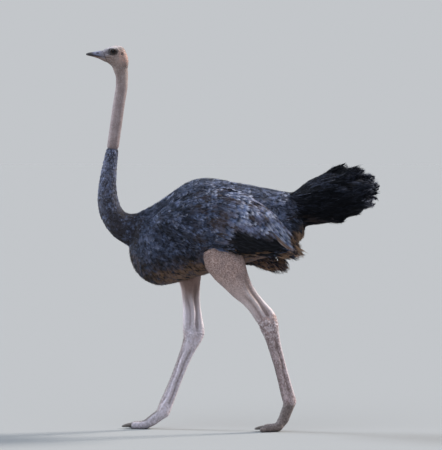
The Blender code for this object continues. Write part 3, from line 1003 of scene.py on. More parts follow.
eyeBall, lidRim = eyeFinish(), lidFinish()
for side in sides:
    makeEye(side, eyeBall, lidRim)
print("eyes made")


# Bill and claws, shaped from copies of their solids.

def hornPiece(name, solid, voxel, carve, finish):
    mesh = meshFrom(remeshed(gathered([solid], 0.0), voxel, 6), name)
    writePoints(mesh, carve(*readPoints(mesh)))
    dressed(name, mesh, finish, "horn", solid)


def carveUpperBill(points, normals):
    x, y = points[:, 0], points[:, 1]
    flank = np.abs(normals[:, 1])
    hole = near(points, bill["nostril"], 0.0085, 0.0030) * (flank > 0.25)
    lip = near(points, bill["nostril"], 0.0130, 0.0058) * (flank > 0.25) - hole
    top = ramp(normals[:, 2], 0.5, 0.95)
    ridge = bell(y, 0.0030) * top
    nail = ramp(x, -0.704, -0.712)
    groove = bell(x, 0.0016, -0.7075) * top
    edge = ramp(lineGap(points, bill["mouth"])[0], 0.0035, 0.0010) * (flank > 0.3)
    push = bill["cover"] - bill["nostrilDeep"] * hole + bill["nostrilRim"] * lip + bill["ridge"] * ridge
    push = push + bill["nail"] * nail - bill["groove"] * groove + bill["edge"] * edge
    push -= bill["rootDeep"] * ramp(x, -0.662, -0.641) + bill["ridge"] * ridge * ramp(x, -0.665, -0.650)
    return points + normals * push[:, None]


def carveLowerBill(points, normals):
    x = points[:, 0]
    under = ramp(-normals[:, 2], 0.4, 0.9)
    groove = bell(np.abs(points[:, 1]), 0.0016, 0.0075) * under * (x < -0.655)
    nail = ramp(x, -0.708, -0.716)
    push = bill["cover"] - 0.0006 * groove + 0.0003 * nail - 0.0019 * ramp(x, -0.640, -0.624)
    return points + normals * push[:, None]


def carveClaw(points, normals):
    ridge = bell(np.sin(points[:, 1] * 900), 0.5) * ramp(normals[:, 2], 0.2, 0.8)
    return points + normals * (bill["clawRidge"] * ridge)[:, None]


def hornFinish(name, low, high, tip, tipFrom, tipTo):
    horn = Finish(name, 0.38)
    x, y, z = horn.split(horn.place())
    streaks = horn.noise(60.0, 4, (0.6, 6, 6))
    clouds = horn.noise(38.0, 3)
    drift = clouds - 0.5
    above = z + x * bill["mouthSlope"] - bill["mouthLevel"]
    # the chin under the lower bill is soft skin
    under = drift * 0.006 - above
    chin = under.step(0.0055, 0.0100) * (x + under).step(-0.690, -0.655)
    colour = horn.layers(
        horn.blend((streaks * 0.6 + clouds * 0.6 - 0.1).clamped(), low, high),
        # a band along both sides of the mouth line is painted dark: partly the horn's darker edge, partly
        # painted shade in the crease
        (above.size().step(0.0070, 0.0015) * 0.85, tip),
        ((x + drift * 0.012).step(tipFrom, tipTo), tip),
        # the nostril is painted dark as the shade inside it
        (oval(x, z, bill["nostril"], 105.0, 290.0).step(1.6, 0.5) * 0.9, tip),
        ((x + z * 0.12 + drift * 0.010).step(-0.450, -0.420) * 0.9, bill["rootColour"]),
        (chin, bill["throatColour"]),
    )
    scratches = horn.noise(420.0, 3, (0.25, 3, 3))
    rough = scratches * 0.35 + 0.26 + chin * 0.2
    bump = horn.bump(scratches + clouds * 0.5, 0.0003, 0.6)
    return horn.shade(Base_Color=colour, Roughness=rough, Normal=bump)


def clawFinish():
    horn = Finish("clawHorn", 0.42)
    streaks = horn.noise(70.0, 4, (1, 5, 5))
    colour = horn.blend(streaks, *bill["clawColours"])
    return horn.shade(Base_Color=colour, Normal=horn.bump(streaks, 0.0006))


upperHorn = hornFinish(
    "upperBillHorn", (0.120, 0.128, 0.200), (0.260, 0.266, 0.375), (0.022, 0.017, 0.018), -0.676, -0.706
)
lowerHorn = hornFinish(
    "lowerBillHorn", (0.130, 0.062, 0.045), (0.300, 0.185, 0.155), (0.040, 0.022, 0.018), -0.690, -0.712
)
clawHorn = clawFinish()
hornPiece("upperBill", "bill_upper", bill["voxel"], carveUpperBill, upperHorn)
hornPiece("lowerBill", "bill_lower", bill["voxel"], carveLowerBill, lowerHorn)
for side in sides:
    hornPiece(f"claw{side.title()}", f"claw_{side}", bill["clawVoxel"], carveClaw, clawHorn)
print("bill and claws made")


# A feather is a small pattern of a few dozen faces: a soft vane with its barbs in loose clumps.

def featherPattern(seed, columns=4, rows=5, blunt=0.55, root=0.30, fray=0.12, lean=0.13):
    rng = np.random.default_rng(seed)
    bm = bmesh.new()
    bmesh.ops.create_grid(bm, x_segments=columns, y_segments=rows, size=1)
    for vert in bm.verts:
        along = (vert.co.y + 1) / 2
        broad = root + (1 - root) * ramp(along, 0.0, 0.45)
        broad *= math.sqrt(max(1 - max(0.0, (along - blunt) / (1.02 - blunt)) ** 2, 0.03))
        dome = 0.12 * (1 - vert.co.x**2)
        jitter = 1 + (0.10 * rng.normal() if abs(vert.co.x) > 0.9 else 0)
        crown = 0.90 - 0.06 * vert.co.x**2
        vert.co = Vector((vert.co.x * broad * 0.84 * jitter, along * crown, dome))
    for edge, middle in rims(bm, 0.06):
        if middle.y > 0.83 and abs(middle.x) < 0.45:
            tip = Vector((middle.x * (1 + 0.5 * rng.random()), 0.94 + 0.07 * rng.random(), 0.02))
        else:
            out = middle.x + np.sign(middle.x) * fray * (0.3 + 1.1 * rng.random())
            tip = Vector((out, middle.y + lean * (0.8 + 0.9 * rng.random()), -0.10 * rng.random()))
        wisped(bm, edge, tip)
    return patternOf(bm)


def rims(bm, root):
    # the edges round a vane, beyond its root, and their middles
    for edge in [edge for edge in bm.edges if edge.is_boundary]:
        middle = (edge.verts[0].co + edge.verts[1].co) / 2
        if middle.y >= root:
            yield edge, middle


def drawnOut(bm, edge):
    # the new points and edges made by drawing an edge out
    made = bmesh.ops.extrude_edge_only(bm, edges=[edge])["geom"]
    fresh = [item for item in made if isinstance(item, bmesh.types.BMVert)]
    return fresh, [item for item in made if isinstance(item, bmesh.types.BMEdge)]


def wisped(bm, edge, tip):
    # a barb clump: the edge is drawn out to one point
    fresh = drawnOut(bm, edge)[0]
    for vert in fresh:
        vert.co = tip
    bmesh.ops.remove_doubles(bm, verts=fresh, dist=1e-6)


def patternOf(bm):
    # the points and triangles of a pattern, facing up
    bmesh.ops.triangulate(bm, faces=bm.faces)
    bmesh.ops.recalc_face_normals(bm, faces=bm.faces)
    if sum(face.normal.z for face in bm.faces) < 0:
        bmesh.ops.reverse_faces(bm, faces=bm.faces)
    bm.verts.index_update()
    shape = np.array([vert.co[:] for vert in bm.verts])
    faces = np.array([[vert.index for vert in face.verts] for face in bm.faces])
    bm.free()
    return shape, faces


def plumePattern(seed, clumps=9, reach=1.0, lean=0.20, droop=0.35, shaft=0.13):
    # a long loose plume: a narrow shaft and separate wisps that hang from it on both sides
    rng = np.random.default_rng(seed)
    bm = bmesh.new()
    bmesh.ops.create_grid(bm, x_segments=1, y_segments=clumps, size=1)
    for vert in bm.verts:
        along = (vert.co.y + 1) / 2
        vert.co = Vector((vert.co.x * (shaft * (1 - 0.6 * along)), along * 0.93, 0.10))
    for edge, middle in rims(bm, 0.03):
        broad = ramp(middle.y, 0.0, 0.25) * math.sqrt(max(1.08 - middle.y, 0.05))
        side = np.sign(middle.x) if abs(middle.x) > 0.01 else rng.normal() * 0.3
        wide = side * broad * reach * (0.75 + 0.45 * rng.random())
        tip = Vector((wide, min(middle.y + lean * (0.6 + 0.8 * rng.random()), 1.0), -droop * rng.random()))
        fresh, ends = drawnOut(bm, edge)
        half = tip.lerp(middle, 0.5) + Vector((0, 0, 0.12))
        for vert, old in zip(fresh, edge.verts):
            vert.co = half + (old.co - middle) * 0.60
        far = next(item for item in ends if all(vert in fresh for vert in item.verts))
        wisped(bm, far, tip)
    return patternOf(bm)


def wispPattern(seed, blades=5, joints=2, thick=0.16, fan=1.0, curve=1.3):
    # a few loose barbs that spring from one root
    rng = np.random.default_rng(seed)
    bm = bmesh.new()
    for blade in range(blades):
        lean = ((blade + 0.5) / blades * 2 - 1) * fan + 0.2 * rng.normal()
        made = bmesh.ops.create_grid(bm, x_segments=1, y_segments=joints, size=1)["verts"]
        far = 0.62 + 0.38 * rng.random()
        start = 0.25 * rng.random()
        high = 0.15 + 0.25 * rng.random()
        for vert in made:
            along = (vert.co.y + 1) / 2
            thin = thick * (1 - along) ** 0.7 + 0.008
            across = lean * along**curve + vert.co.x * thin
            vert.co = Vector((across, start + along * (far - start), high * math.sin(math.pi * along)))
        tips = [vert for vert in made if vert.co.y > far - 1e-4]
        bmesh.ops.pointmerge(bm, verts=tips, merge_co=tips[0].co)
    return patternOf(bm)


def shieldPattern():
    # a plate of the shank: domed, with its rim turned down into the skin
    bm = bmesh.new()
    bmesh.ops.create_grid(bm, x_segments=6, y_segments=4, size=1)
    for vert in bm.verts:
        across, along = vert.co.x, (vert.co.y + 1) / 2
        taper = 1 - 0.18 * abs(2 * along - 1) ** 3
        rim = max(abs(across) ** 6, (2 * along - 1) ** 6)
        vert.co = Vector((across * taper, 0.02 + 0.96 * along, 0.10 - 0.26 * rim))
    return patternOf(bm)


patterns = {
    "shield": [shieldPattern()],
    "down": [wispPattern(seed, 4, 2, 0.032, 0.55, 1.2) for seed in range(33, 41)],
    "round": [featherPattern(seed) for seed in range(1, 5)],
    "narrow": [featherPattern(seed, 2, 4, 0.45, 0.35, 0.20, 0.16) for seed in range(5, 9)],
    "shaggy": [featherPattern(seed, 2, 7, 0.50, 0.30, 0.36, 0.20) for seed in range(9, 13)],
    "plume": [plumePattern(seed) for seed in range(13, 17)],
    "wisp": [wispPattern(seed) for seed in range(17, 21)],
    "tuft": [wispPattern(seed, 8, 2, 0.085, 0.9, 1.15) for seed in range(21, 27)],
    "strand": [wispPattern(seed, 7, 4, 0.10, 0.9, 1.4) for seed in range(27, 33)],
}


def pathBack(tips, length, flow, guide, steps):
    # rows from each tip back to its root, along the surface against the lie of the coat
    rows, normals = [], []
    here = tips
    for step in range(steps + 1):
        here, up = guide.laid(here)
        rows.append(here)
        normals.append(up)
        here = here - flow(here, up) * (length / steps)[:, None]
    return np.stack(rows[::-1], 1), np.stack(normals[::-1], 1)


mapMake = {"long": 0.003, "wide": 0.00125, "margin": 0.02}  # a feather's patch on the unwrapped coat


def featherPiece(name, fields, finish, unwrap, nodeNames=(), slot="plumage"):
    # many feathers in one mesh; a field holds the rows, sizes and colours of some of them
    points, corners, lies, tints, places = [], [], [], [], []
    count = 0
    for tract in fields:
        rows, up = tract["rows"], tract["up"]
        steps = rows.shape[1] - 1
        tangent = unit(np.gradient(rows, axis=1))
        across = unit(np.cross(tangent, up))
        up = unit(np.cross(across, tangent))
        which = tract["rng"].integers(0, len(patterns[tract["pattern"]]), len(rows))
        roots = unwrap(rows[:, 0])
        for kind, (shape, faces) in enumerate(patterns[tract["pattern"]]):
            mine = np.nonzero(which == kind)[0]
            if not len(mine):
                continue
            along = np.clip(shape[:, 1], 0, 1)
            cell = np.minimum((along * steps).astype(int), steps - 1)
            part = (along * steps - cell)[None, :, None]
            pick = np.ix_(mine, cell), np.ix_(mine, cell + 1)
            middle, side, rise = (a[pick[0]] * (1 - part) + a[pick[1]] * part for a in (rows, across, up))

            def get(key):
                return tract[key][mine][:, None]

            roll = get("roll") * along
            side, rise = (
                side * np.cos(roll)[..., None] + rise * np.sin(roll)[..., None],
                rise * np.cos(roll)[..., None] - side * np.sin(roll)[..., None],
            )
            wide = shape[:, 0] * get("half") + get("bend") * get("length") * along**2
            high = -get("depth") * (1 - along) ** 0.8 + get("lift") * along**2
            high += (shape[:, 2] - tract["camber"] * shape[:, 0] ** 2) * get("half")
            high += get("curl") * get("length") * along**3
            placed = middle + side * wide[..., None] + rise * high[..., None]
            total = len(mine) * len(shape)
            points.append(placed.reshape(total, 3))
            starts = count + np.arange(len(mine)) * len(shape)
            corners.append((faces[None] + starts[:, None, None]).reshape(-1, 3))
            count += total
            tone = np.broadcast_to(get("tone"), (len(mine), len(shape)))
            pattern = np.broadcast_to(along, tone.shape), np.broadcast_to(shape[:, 0], tone.shape)
            lies.append(np.stack([*pattern, tone], -1).reshape(total, 3))
            tints.append(np.repeat(tract["tint"][mine], len(shape), 0))
            patch = np.stack([(along - 0.5) * mapMake["long"], shape[:, 0] * mapMake["wide"]], -1)
            places.append((roots[mine][:, None] + patch[None]).reshape(total, 2))
    points, corners = np.concatenate(points), np.concatenate(corners)
    lies, tints, places = np.concatenate(lies), np.concatenate(tints), np.concatenate(places)
    places = (places - places.min(0)) / (places.max(0) - places.min(0))
    places = places * (1 - 2 * mapMake["margin"]) + mapMake["margin"]

    mesh = bpy.data.meshes.new(name)
    mesh.vertices.add(len(points))
    mesh.vertices.foreach_set("co", points.astype(np.float32).ravel())
    mesh.loops.add(corners.size)
    mesh.loops.foreach_set("vertex_index", corners.astype(np.int32).ravel())
    mesh.polygons.add(len(corners))
    mesh.polygons.foreach_set("loop_start", np.arange(0, corners.size, 3, dtype=np.int32))
    mesh.update(calc_edges=True)
    setAttribute(mesh, "lie", lies)
    setAttribute(mesh, "tint", tints)
    layer = mesh.uv_layers.new(name="OFBake")
    layer.data.foreach_set("uv", places[corners.ravel()].astype(np.float32).ravel())
    dressed(name, mesh, finish, slot, *nodeNames)
    print(name, "made:", len(corners), "triangles")


def field(guide, tips, flow, make, rng, tint, length=None):
    # the feathers whose tips are these, drawn from the ranges of make
    count = len(tips)
    make = {**usualMake, **make}

    def ranged(key):
        limits = make[key]
        low, high = limits if isinstance(limits, tuple) else (-limits, limits)
        return low + (high - low) * rng.random(count)

    length = ranged("length") if length is None else length * (0.85 + 0.3 * rng.random(count))
    wander = ranged("wander")

    def strayed(points, up):
        way = flow(points, up)
        side = np.cross(up, way)
        return unit(way * np.cos(wander)[:, None] + side * np.sin(wander)[:, None])

    rows, up = pathBack(tips, length, strayed, guide, make["steps"])
    made = {"rows": rows, "up": up, "rng": rng, "length": length}
    made.update(pattern=make["pattern"], camber=make["camber"])
    for key in ("slender", "depth", "lift", "roll", "bend", "curl"):
        made[key] = ranged(key)
    made["tone"] = rng.random(count)
    made["tint"] = tint(rows[:, -1], rng)
    made["half"] = length * made["slender"]
    return made


# The lie of the coat. Feathers run down the neck, back along the trunk and wings, and out along the tail.

trunkAlong = (-0.514, -0.425, -0.290, -0.120, 0.105, 0.285, 0.345)
wingAlong = (-0.395, -0.355, -0.285, -0.190, -0.100, -0.010, 0.075, 0.150, 0.215, 0.265, 0.300)
form = {
    # points are forward and up; the edges of trunk and wing are heights at those stations
    "neckLine": [
        (-0.420, 0.978), (-0.512, 0.994), (-0.550, 1.008), (-0.585, 1.040), (-0.611, 1.085), (-0.623, 1.145),
        (-0.623, 1.215), (-0.614, 1.290), (-0.602, 1.362), (-0.582, 1.500), (-0.568, 1.600), (-0.553, 1.690),
        (-0.551, 1.745), (-0.568, 1.820),
    ],
    "featherLine": (-0.5975, 1.390, 0.12),
    "back": (trunkAlong, (0.950, 1.096, 1.184, 1.243, 1.202, 1.165, 1.075)),
    "belly": (trunkAlong, (0.868, 0.734, 0.729, 0.779, 0.842, 0.900, 0.965)),
    "wingUpper": (wingAlong, (1.062, 1.100, 1.142, 1.184, 1.196, 1.194, 1.166, 1.110, 1.050, 0.992, 0.942)),
    "wingLower": (wingAlong, (1.030, 0.985, 0.928, 0.893, 0.875, 0.864, 0.858, 0.862, 0.872, 0.872, 0.872)),
    "shoulder": (-0.330, 1.045),
    "wingTurn": {"left": 0.0, "right": math.radians(7.5)},
    "wingShift": {"left": 0.0, "right": -0.040},
    "tailRoot": (0.270, 0.0, 1.090),
}
neckLine = np.array(form["neckLine"])[:, [0, 0, 1]] * (1, 0, 1)
neckReach = np.concatenate([[0], np.cumsum(np.linalg.norm(np.diff(neckLine, axis=0), axis=1))])


def alongNeck(points):
    # how far up the neck's line each point stands, and the line's direction there
    best = np.full(len(points), 9.0)
    reach = np.zeros(len(points))
    way = np.zeros_like(points)
    for a, b, start in zip(neckLine, neckLine[1:], neckReach):
        span = np.linalg.norm(b - a)
        share = np.clip((points - a) @ (b - a) / span**2, 0, 1)
        gap = np.linalg.norm(points - a - share[:, None] * (b - a), axis=1)
        closer = gap < best
        best[closer] = gap[closer]
        reach[closer] = start + span * share[closer]
        way[closer] = (b - a) / span
    return reach, way


def pressed(way, up):
    return unit(way - (way * up).sum(-1, keepdims=True) * up)


def neckFlow(points, up):
    return pressed(-alongNeck(points)[1], up)


def trunkHeight(points):
    # 0 at the belly and 1 at the back
    low, high = np.interp(points[:, 0], *form["belly"]), np.interp(points[:, 0], *form["back"])
    return np.clip((points[:, 2] - low) / (high - low), 0, 1)


def bodyFlow(points, up):
    height = trunkHeight(points)
    front = ramp(points[:, 0], -0.36, -0.50)
    down = 0.80 * (1 - height) ** 0.8 + 0.10 + 1.3 * front * (1 - ramp(height, 0.75, 1.0))
    out = 0.35 * np.clip(points[:, 1] / 0.05, -1, 1) * ramp(up[:, 2], 0.5, 0.95)
    way = np.stack([np.ones(len(points)), out, -down], 1)
    chest = ramp(alongNeck(points)[0], 0.02, 0.14)[:, None] * (points[:, 0] < -0.44)[:, None]
    return pressed(way * (1 - chest) - alongNeck(points)[1] * chest, up)


def wingPlace(points, side):
    # a wing point as it stands with the wing at rest
    turn = form["wingTurn"][side]
    dx = points[:, 0] - form["shoulder"][0] - form["wingShift"][side]
    dz = points[:, 2] - form["shoulder"][1]
    x = form["shoulder"][0] + dx * math.cos(turn) - dz * math.sin(turn)
    return x, form["shoulder"][1] + dx * math.sin(turn) + dz * math.cos(turn)


def wingShare(x, z):
    # 0 at the wing's upper edge and 1 at its lower edge
    upper, lower = np.interp(x, *form["wingUpper"]), np.interp(x, *form["wingLower"])
    return np.clip((upper - z) / np.maximum(upper - lower, 0.02), 0, 1)


def wingFlow(side):
    def flow(points, up):
        x, z = wingPlace(points, side)
        share = wingShare(x, z)
        step = 0.02
        rise = [
            np.arctan2(np.interp(x + step, *line) - np.interp(x - step, *line), 2 * step)
            for line in (form["wingUpper"], form["wingLower"])
        ]
        angle = rise[0] * (1 - share) + rise[1] * share * 0.6 - 0.42 * np.sin(math.pi * share)
        angle = np.clip(angle, -1.1, 0.5) - form["wingTurn"][side]
        return pressed(np.stack([np.cos(angle), np.zeros(len(x)), np.sin(angle)], 1), up)

    return flow


def tailFlow(points, up):
    way = unit(points - np.array(form["tailRoot"]) + (0.12, 0, 0))
    root = ramp(points[:, 0], 0.38, 0.30)[:, None]
    return pressed(way * (1 - root) + np.array((1.0, 0.0, -0.05)) * root, up)


def plumeFlow(points, up):
    return pressed(np.tile((0.80, 0.0, -0.60), (len(points), 1)), up)


# voxel, rounds of smoothing, and how far notches are closed
guideMake = {"body": (0.006, 6), "wing": (0.005, 3), "tail": (0.006, 3), "plumes": (0.006, 8, 0.013)}


def guideOf(names, voxel, rounds, closing=0.0):
    # the surface of some solids as one, with notches up to twice the closing filled
    bm = remeshed(gathered(names, 0.001 + closing), voxel, rounds)
    bm.normal_update()
    for vert, move in zip(bm.verts, [vert.normal * closing * 0.6 for vert in bm.verts]):
        vert.co -= move
    return Guide(meshFrom(bm, "guide"))


bodyGuide = guideOf(bodyNames, *guideMake["body"])
wingGuides = {side: guideOf([f"wing_{side}"], *guideMake["wing"]) for side in sides}
tailGuide = guideOf(["tail", "trunk"], *guideMake["tail"])
tailSolid = Guide(nodes["tail"].data)
plumeGuides = {side: guideOf([f"wing_plumes_{side}"], *guideMake["plumes"]) for side in sides}
print("guides made")


# What colour each tract is, as shares of pale, buff and black; some of the pale is painted highlight and some
# of the black painted shade.

def tintOf(pale, buff, black):
    return np.clip(np.stack(np.broadcast_arrays(pale, buff, black), 1), 0, 1)


def clumps(points, size, seed):
    # smooth patches about size across, as a number that is 0 on average and mostly between -1 and 1
    rng = np.random.default_rng(seed)
    waves = rng.normal(size=(12, 3)) * 2.4 / size
    return np.sin(points @ waves.T + rng.random(12) * 7).sum(1) / 2.6


def neckTint(points, rng):
    reach = alongNeck(points)[0]
    low = ramp(reach, 0.42, 0.10)
    chance = rng.random(len(points))
    base = ramp(reach, 0.14, 0.04)
    pale = (0.55 * chance + 0.08) * (1 - 0.92 * low) * (1 - base)
    return tintOf(pale, 0.05, 0.22 + 0.68 * low * (chance < 0.93))


def bodyTint(points, rng):
    chance = rng.random(len(points))
    height = trunkHeight(points)
    x = points[:, 0]
    back = ramp(height, 0.74, 0.92) * (1 - ramp(x, 0.24, 0.32)) * ramp(x, -0.42, -0.34)
    rump = ramp(x, 0.10, 0.22) * ramp(height, 0.45, 0.7) * (1 - ramp(x, 0.24, 0.32))
    patch = clumps(points, 0.034, 3) + 0.9 * (chance - 0.5)
    # pale on the back is partly pale-edged feathers, partly painted highlight on the top of the trunk
    pale = 0.10 * chance + back * (patch > 0.30) + rump * 0.7 * (patch > 0.35)
    pale = np.maximum(pale, 0.45 * (patch > 0.75) * ramp(height, 0.15, 0.5))
    flank = ramp(x, 0.02, 0.08) * ramp(height, 0.22, 0.12)
    belly = ramp(height, 0.19, 0.07) * ramp(x, -0.42, -0.34)
    rear = ramp(x, 0.315, 0.345) * ramp(points[:, 2], 1.02, 0.96)
    buff = np.maximum(np.maximum(0.9 * flank, 0.8 * belly) * (chance > 0.3), 0.6 * rear * (chance > 0.6))
    # low on the trunk the feathers are painted black as shade; towards the rump the black is its own dark
    # colour
    shade = 0.55 * ramp(height, 0.50, 0.12) * (1 - flank) + 0.55 * ramp(x, 0.25, 0.33)
    buff = np.maximum(buff, 0.25 * ramp(height, 0.35, 0.05) * (chance > 0.5))
    return tintOf(pale, buff, shade + 0.50 * (patch < -0.45))


def shadedWingRecess(x, share, top=0.64, full=0.70, end=0.300):
    # 1 in the recess under the wing's coverts, whose feathers are painted black as its shade
    return ramp(share, top, full) * ramp(x, -0.02, 0.03) * ramp(x, end, 0.275)


def wingTint(side):
    def tint(points, rng):
        chance = rng.random(len(points))
        x, z = wingPlace(points, side)
        share = wingShare(x, z)
        rear = ramp(x, -0.06, 0.10)
        # pale along the wing's upper edge: partly pale-edged coverts, partly painted highlight on the top of
        # the wing
        edge = ramp(share, 0.20, 0.05) * ramp(x, -0.30, -0.15)
        patch = clumps(points, 0.040, 4) + 0.9 * (chance - 0.5)
        pale = 0.02 + 0.08 * chance + 0.95 * rear * (patch > -0.40) + edge * (patch > 0.0)
        pale = np.maximum(pale, 0.50 * (patch > 0.80))
        # the recess under the coverts is painted black as shade
        inner = shadedWingRecess(x, share, 0.60, 0.68, 0.295)
        fringe = ramp(share, 0.95, 0.99) * ramp(x, 0.00, 0.06) * (chance > 0.6)
        tip = ramp(x, 0.27, 0.30) * (chance > 0.6)
        brown = 0.14 * (patch < -0.30) * ramp(x, -0.22, -0.10) * (1 - inner)
        buff = np.maximum(np.maximum(fringe, tip) * 0.6, brown)
        return tintOf(pale * (1 - inner), buff, inner + (1 - rear) * 0.62 * (patch < 0.20))

    return tint


def tailTint(points, rng):
    chance = rng.random(len(points))
    tip = ramp(points[:, 0], 0.62, 0.71)
    root = ramp(points[:, 0], 0.42, 0.32)
    low = ramp(points[:, 2], 1.08, 1.02) * (chance > 0.7)
    streaks = clumps(points * (0.35, 1.0, 1.0), 0.024, 5) + 0.8 * (chance - 0.5)
    # pale streaks are painted highlights, stronger on the upper tail
    upper = ramp(points[:, 2] - points[:, 0] * 0.25, 0.98, 1.08)
    streakHighlight = ramp(streaks, 0.20, 0.60) * (0.25 + 0.75 * upper)
    pale = np.maximum(0.9 * tip * (chance > 0.5) + 0.25 * root * (chance > 0.7), 0.45 * streakHighlight)
    return tintOf(pale, 0.10 * low, 0.95 - 0.4 * tip - 0.5 * root - 0.4 * low - 0.85 * streakHighlight)


def plumeTint(points, rng):
    chance = rng.random(len(points))
    low = ramp(points[:, 2], 0.86, 0.80)
    rear = ramp(points[:, 0], 0.24, 0.30)
    return tintOf(0.3 * (chance > 0.8), np.maximum(0.8 * low, rear) * (chance > 0.45), 0.9 * (chance < 0.8))


def plumageFinish(name, colours, gloss, sheen, shafts=0.25):
    # vane, pale margins, buff and black tracts, and fine barbs; some of the pale is painted highlight and
    # some of the black painted shade, as the tints give them
    coat = Finish(name, 0.78, Specular_IOR_Level=gloss, Sheen_Weight=sheen, Sheen_Roughness=0.5)
    along, across, tone = coat.attribute("lie")
    pale, buff, black = coat.attribute("tint")
    clouds, mottle, flecks = coat.noise(26.0, 3), coat.noise(64.0, 2), coat.noise(140.0, 3)
    shade = (tone * 0.45 + clouds * 1.1 + mottle * 1.4 + flecks * 0.3).step(1.28, 2.10)
    reach = across.size()
    margin = (reach.step(0.45, 1.05) * 0.8 + along.step(0.72, 1.0)).clamped() * pale
    barbs = (along * 210.0 - reach * 85.0 + flecks * 4.0).maths("SINE")
    shaft = reach.step(0.10, 0.02) * along.step(0.95, 0.5) * (1 - black * 0.8)
    colour = coat.layers(
        coat.blend(shade, colours["dark"], colours["light"]),
        ((clouds.step(0.48, 0.72) * 0.45).clamped(), colours["brown"]),
        (along.step(0.75, 0.15) * 0.65, colours["black"]),
        (black, colours["black"]),
        (margin.clamped(), colours["pale"]),
        (buff * (flecks * 0.5 + 0.6).clamped(), colours["buff"]),
        (shaft * shafts, colours["pale"]),
        ((barbs * 0.5 + 0.5) * 0.12, colours["black"]),
    )
    return coat.shade(Base_Color=colour, Normal=coat.bump(barbs * 0.5 + flecks, 0.0006, 0.7))


plumageColours = {
    "dark": (0.007, 0.010, 0.022),
    "light": (0.195, 0.252, 0.440),
    "brown": (0.110, 0.086, 0.082),
    "pale": (0.58, 0.61, 0.78),
    "buff": (0.34, 0.200, 0.115),
    "black": (0.0050, 0.0056, 0.0090),
}
tailColours = {
    "dark": (0.004, 0.005, 0.008),
    "light": (0.060, 0.070, 0.110),
    "brown": (0.012, 0.009, 0.010),
    "pale": (0.34, 0.34, 0.40),
    "buff": plumageColours["buff"],
    "black": (0.0022, 0.0027, 0.0045),
}
downColours = {
    "dark": (0.30, 0.27, 0.27),
    "light": (0.62, 0.58, 0.59),
    "brown": (0.36, 0.29, 0.27),
    "pale": (0.74, 0.71, 0.72),
    "buff": plumageColours["buff"],
    "black": (0.24, 0.20, 0.19),
}
bodyCoat = plumageFinish("bodyCoat", plumageColours, 0.22, 0.06)
tailCoat = plumageFinish("tailCoat", tailColours, 0.10, 0.0, 0.04)
paleDown = plumageFinish("paleDown", downColours, 0.3, 0.2)


# Neck, trunk, wings, plumes and tail are feathered in turn.

seeds = {
    "neck": 21, "bodyLeft": 31, "bodyRight": 32, "wingLeft": 41, "wingRight": 42, "tail": 51, "down": 61,
    "shieldsLeft": 71, "shieldsRight": 72,
}
# gap is the distance between feathers, and slender is half the width as a share of the length; depth is how
# far the root sinks and lift how far the tip stands off; a single number is a range to both sides of 0
usualMake = {"roll": 0.35, "bend": 0.06, "curl": 0.03, "camber": 0.25, "steps": 5}
neckMake = {
    "pattern": "narrow", "gap": 0.0060, "slender": (0.19, 0.26), "depth": (0.004, 0.008),
    "lift": (-0.001, 0.0015), "wander": 0.25, "roll": 0.5, "steps": 4,
}
bodyMake = {
    "pattern": "shaggy", "gap": 0.0112, "slender": (0.15, 0.22), "depth": (0.010, 0.020), "lift": 0.003,
    "wander": 0.34, "roll": 0.5, "bend": 0.12, "curl": (-0.05, 0.02),
}
# under a wing nothing grows that is nearer to it than cover, there and a little ahead,
# and the coat reaches as far down the thighs as fringe
bodyCover = {"cover": 0.030, "ahead": 0.05, "fringe": 0.022}
looseMake = {
    "pattern": "wisp", "gap": 0.0125, "slender": (0.16, 0.30), "depth": (0.004, 0.012),
    "lift": (-0.001, 0.005), "wander": 0.6, "roll": 0.5, "bend": 0.15, "curl": (-0.03, 0.06), "steps": 3,
}
tuftMake = {
    "pattern": "tuft", "gap": 0.0078, "slender": (0.16, 0.28), "depth": (0.004, 0.012),
    "lift": (0.000, 0.007), "wander": 0.55, "roll": 0.6, "bend": 0.15, "curl": (-0.02, 0.08), "steps": 3,
}
wingLooseMake = dict(looseMake, gap=0.016, length=0.045)
wingTuftMake = dict(tuftMake, gap=0.0105, length=0.055)
covertMake = {
    "pattern": "round", "gap": 0.0115, "slender": (0.17, 0.24), "depth": (0.008, 0.016),
    "lift": (-0.002, 0.004), "wander": 0.22, "roll": 0.4, "bend": 0.08, "curl": 0.03,
}
webMake = {
    "pattern": "round", "gap": 0.0195, "slender": (0.19, 0.25), "depth": (0.006, 0.012),
    "lift": (0.001, 0.007), "wander": 0.12, "roll": 0.25, "bend": 0.05, "curl": (-0.01, 0.03),
}
quillMake = {
    "pattern": "round", "gap": 0.0140, "length": (0.15, 0.22), "slender": (0.055, 0.080),
    "depth": (0.004, 0.010), "lift": (0.002, 0.008), "wander": 0.06, "roll": 0.3, "bend": (-0.05, 0.02),
    "steps": 7,
}
innerMake = {
    "pattern": "shaggy", "gap": 0.0115, "length": (0.07, 0.11), "slender": (0.14, 0.20),
    "depth": (0.014, 0.022), "lift": (-0.014, -0.008), "wander": 0.2, "bend": 0.1,
}
plumeMake = {
    "pattern": "strand", "gap": 0.0064, "length": (0.07, 0.12), "slender": (0.16, 0.24),
    "depth": (0.006, 0.012), "lift": (-0.008, 0.000), "wander": 0.32, "bend": 0.10, "curl": (-0.06, 0.02),
}
tailMake = {
    "pattern": "plume", "gap": 0.0110, "slender": (0.065, 0.12), "depth": (0.012, 0.040),
    "lift": (-0.014, -0.002), "wander": 0.12, "roll": 0.4, "bend": 0.09, "curl": (-0.08, 0.00),
    "length": (0.12, 0.28), "steps": 7, "camber": 0.6,
}
strandMake = {
    "pattern": "strand", "gap": 0.0074, "slender": (0.10, 0.17), "depth": (0.006, 0.020),
    "lift": (-0.010, 0.003), "wander": 0.18, "roll": 0.5, "bend": 0.12, "curl": (-0.06, 0.02),
    "length": (0.08, 0.17), "camber": 0.5,
}


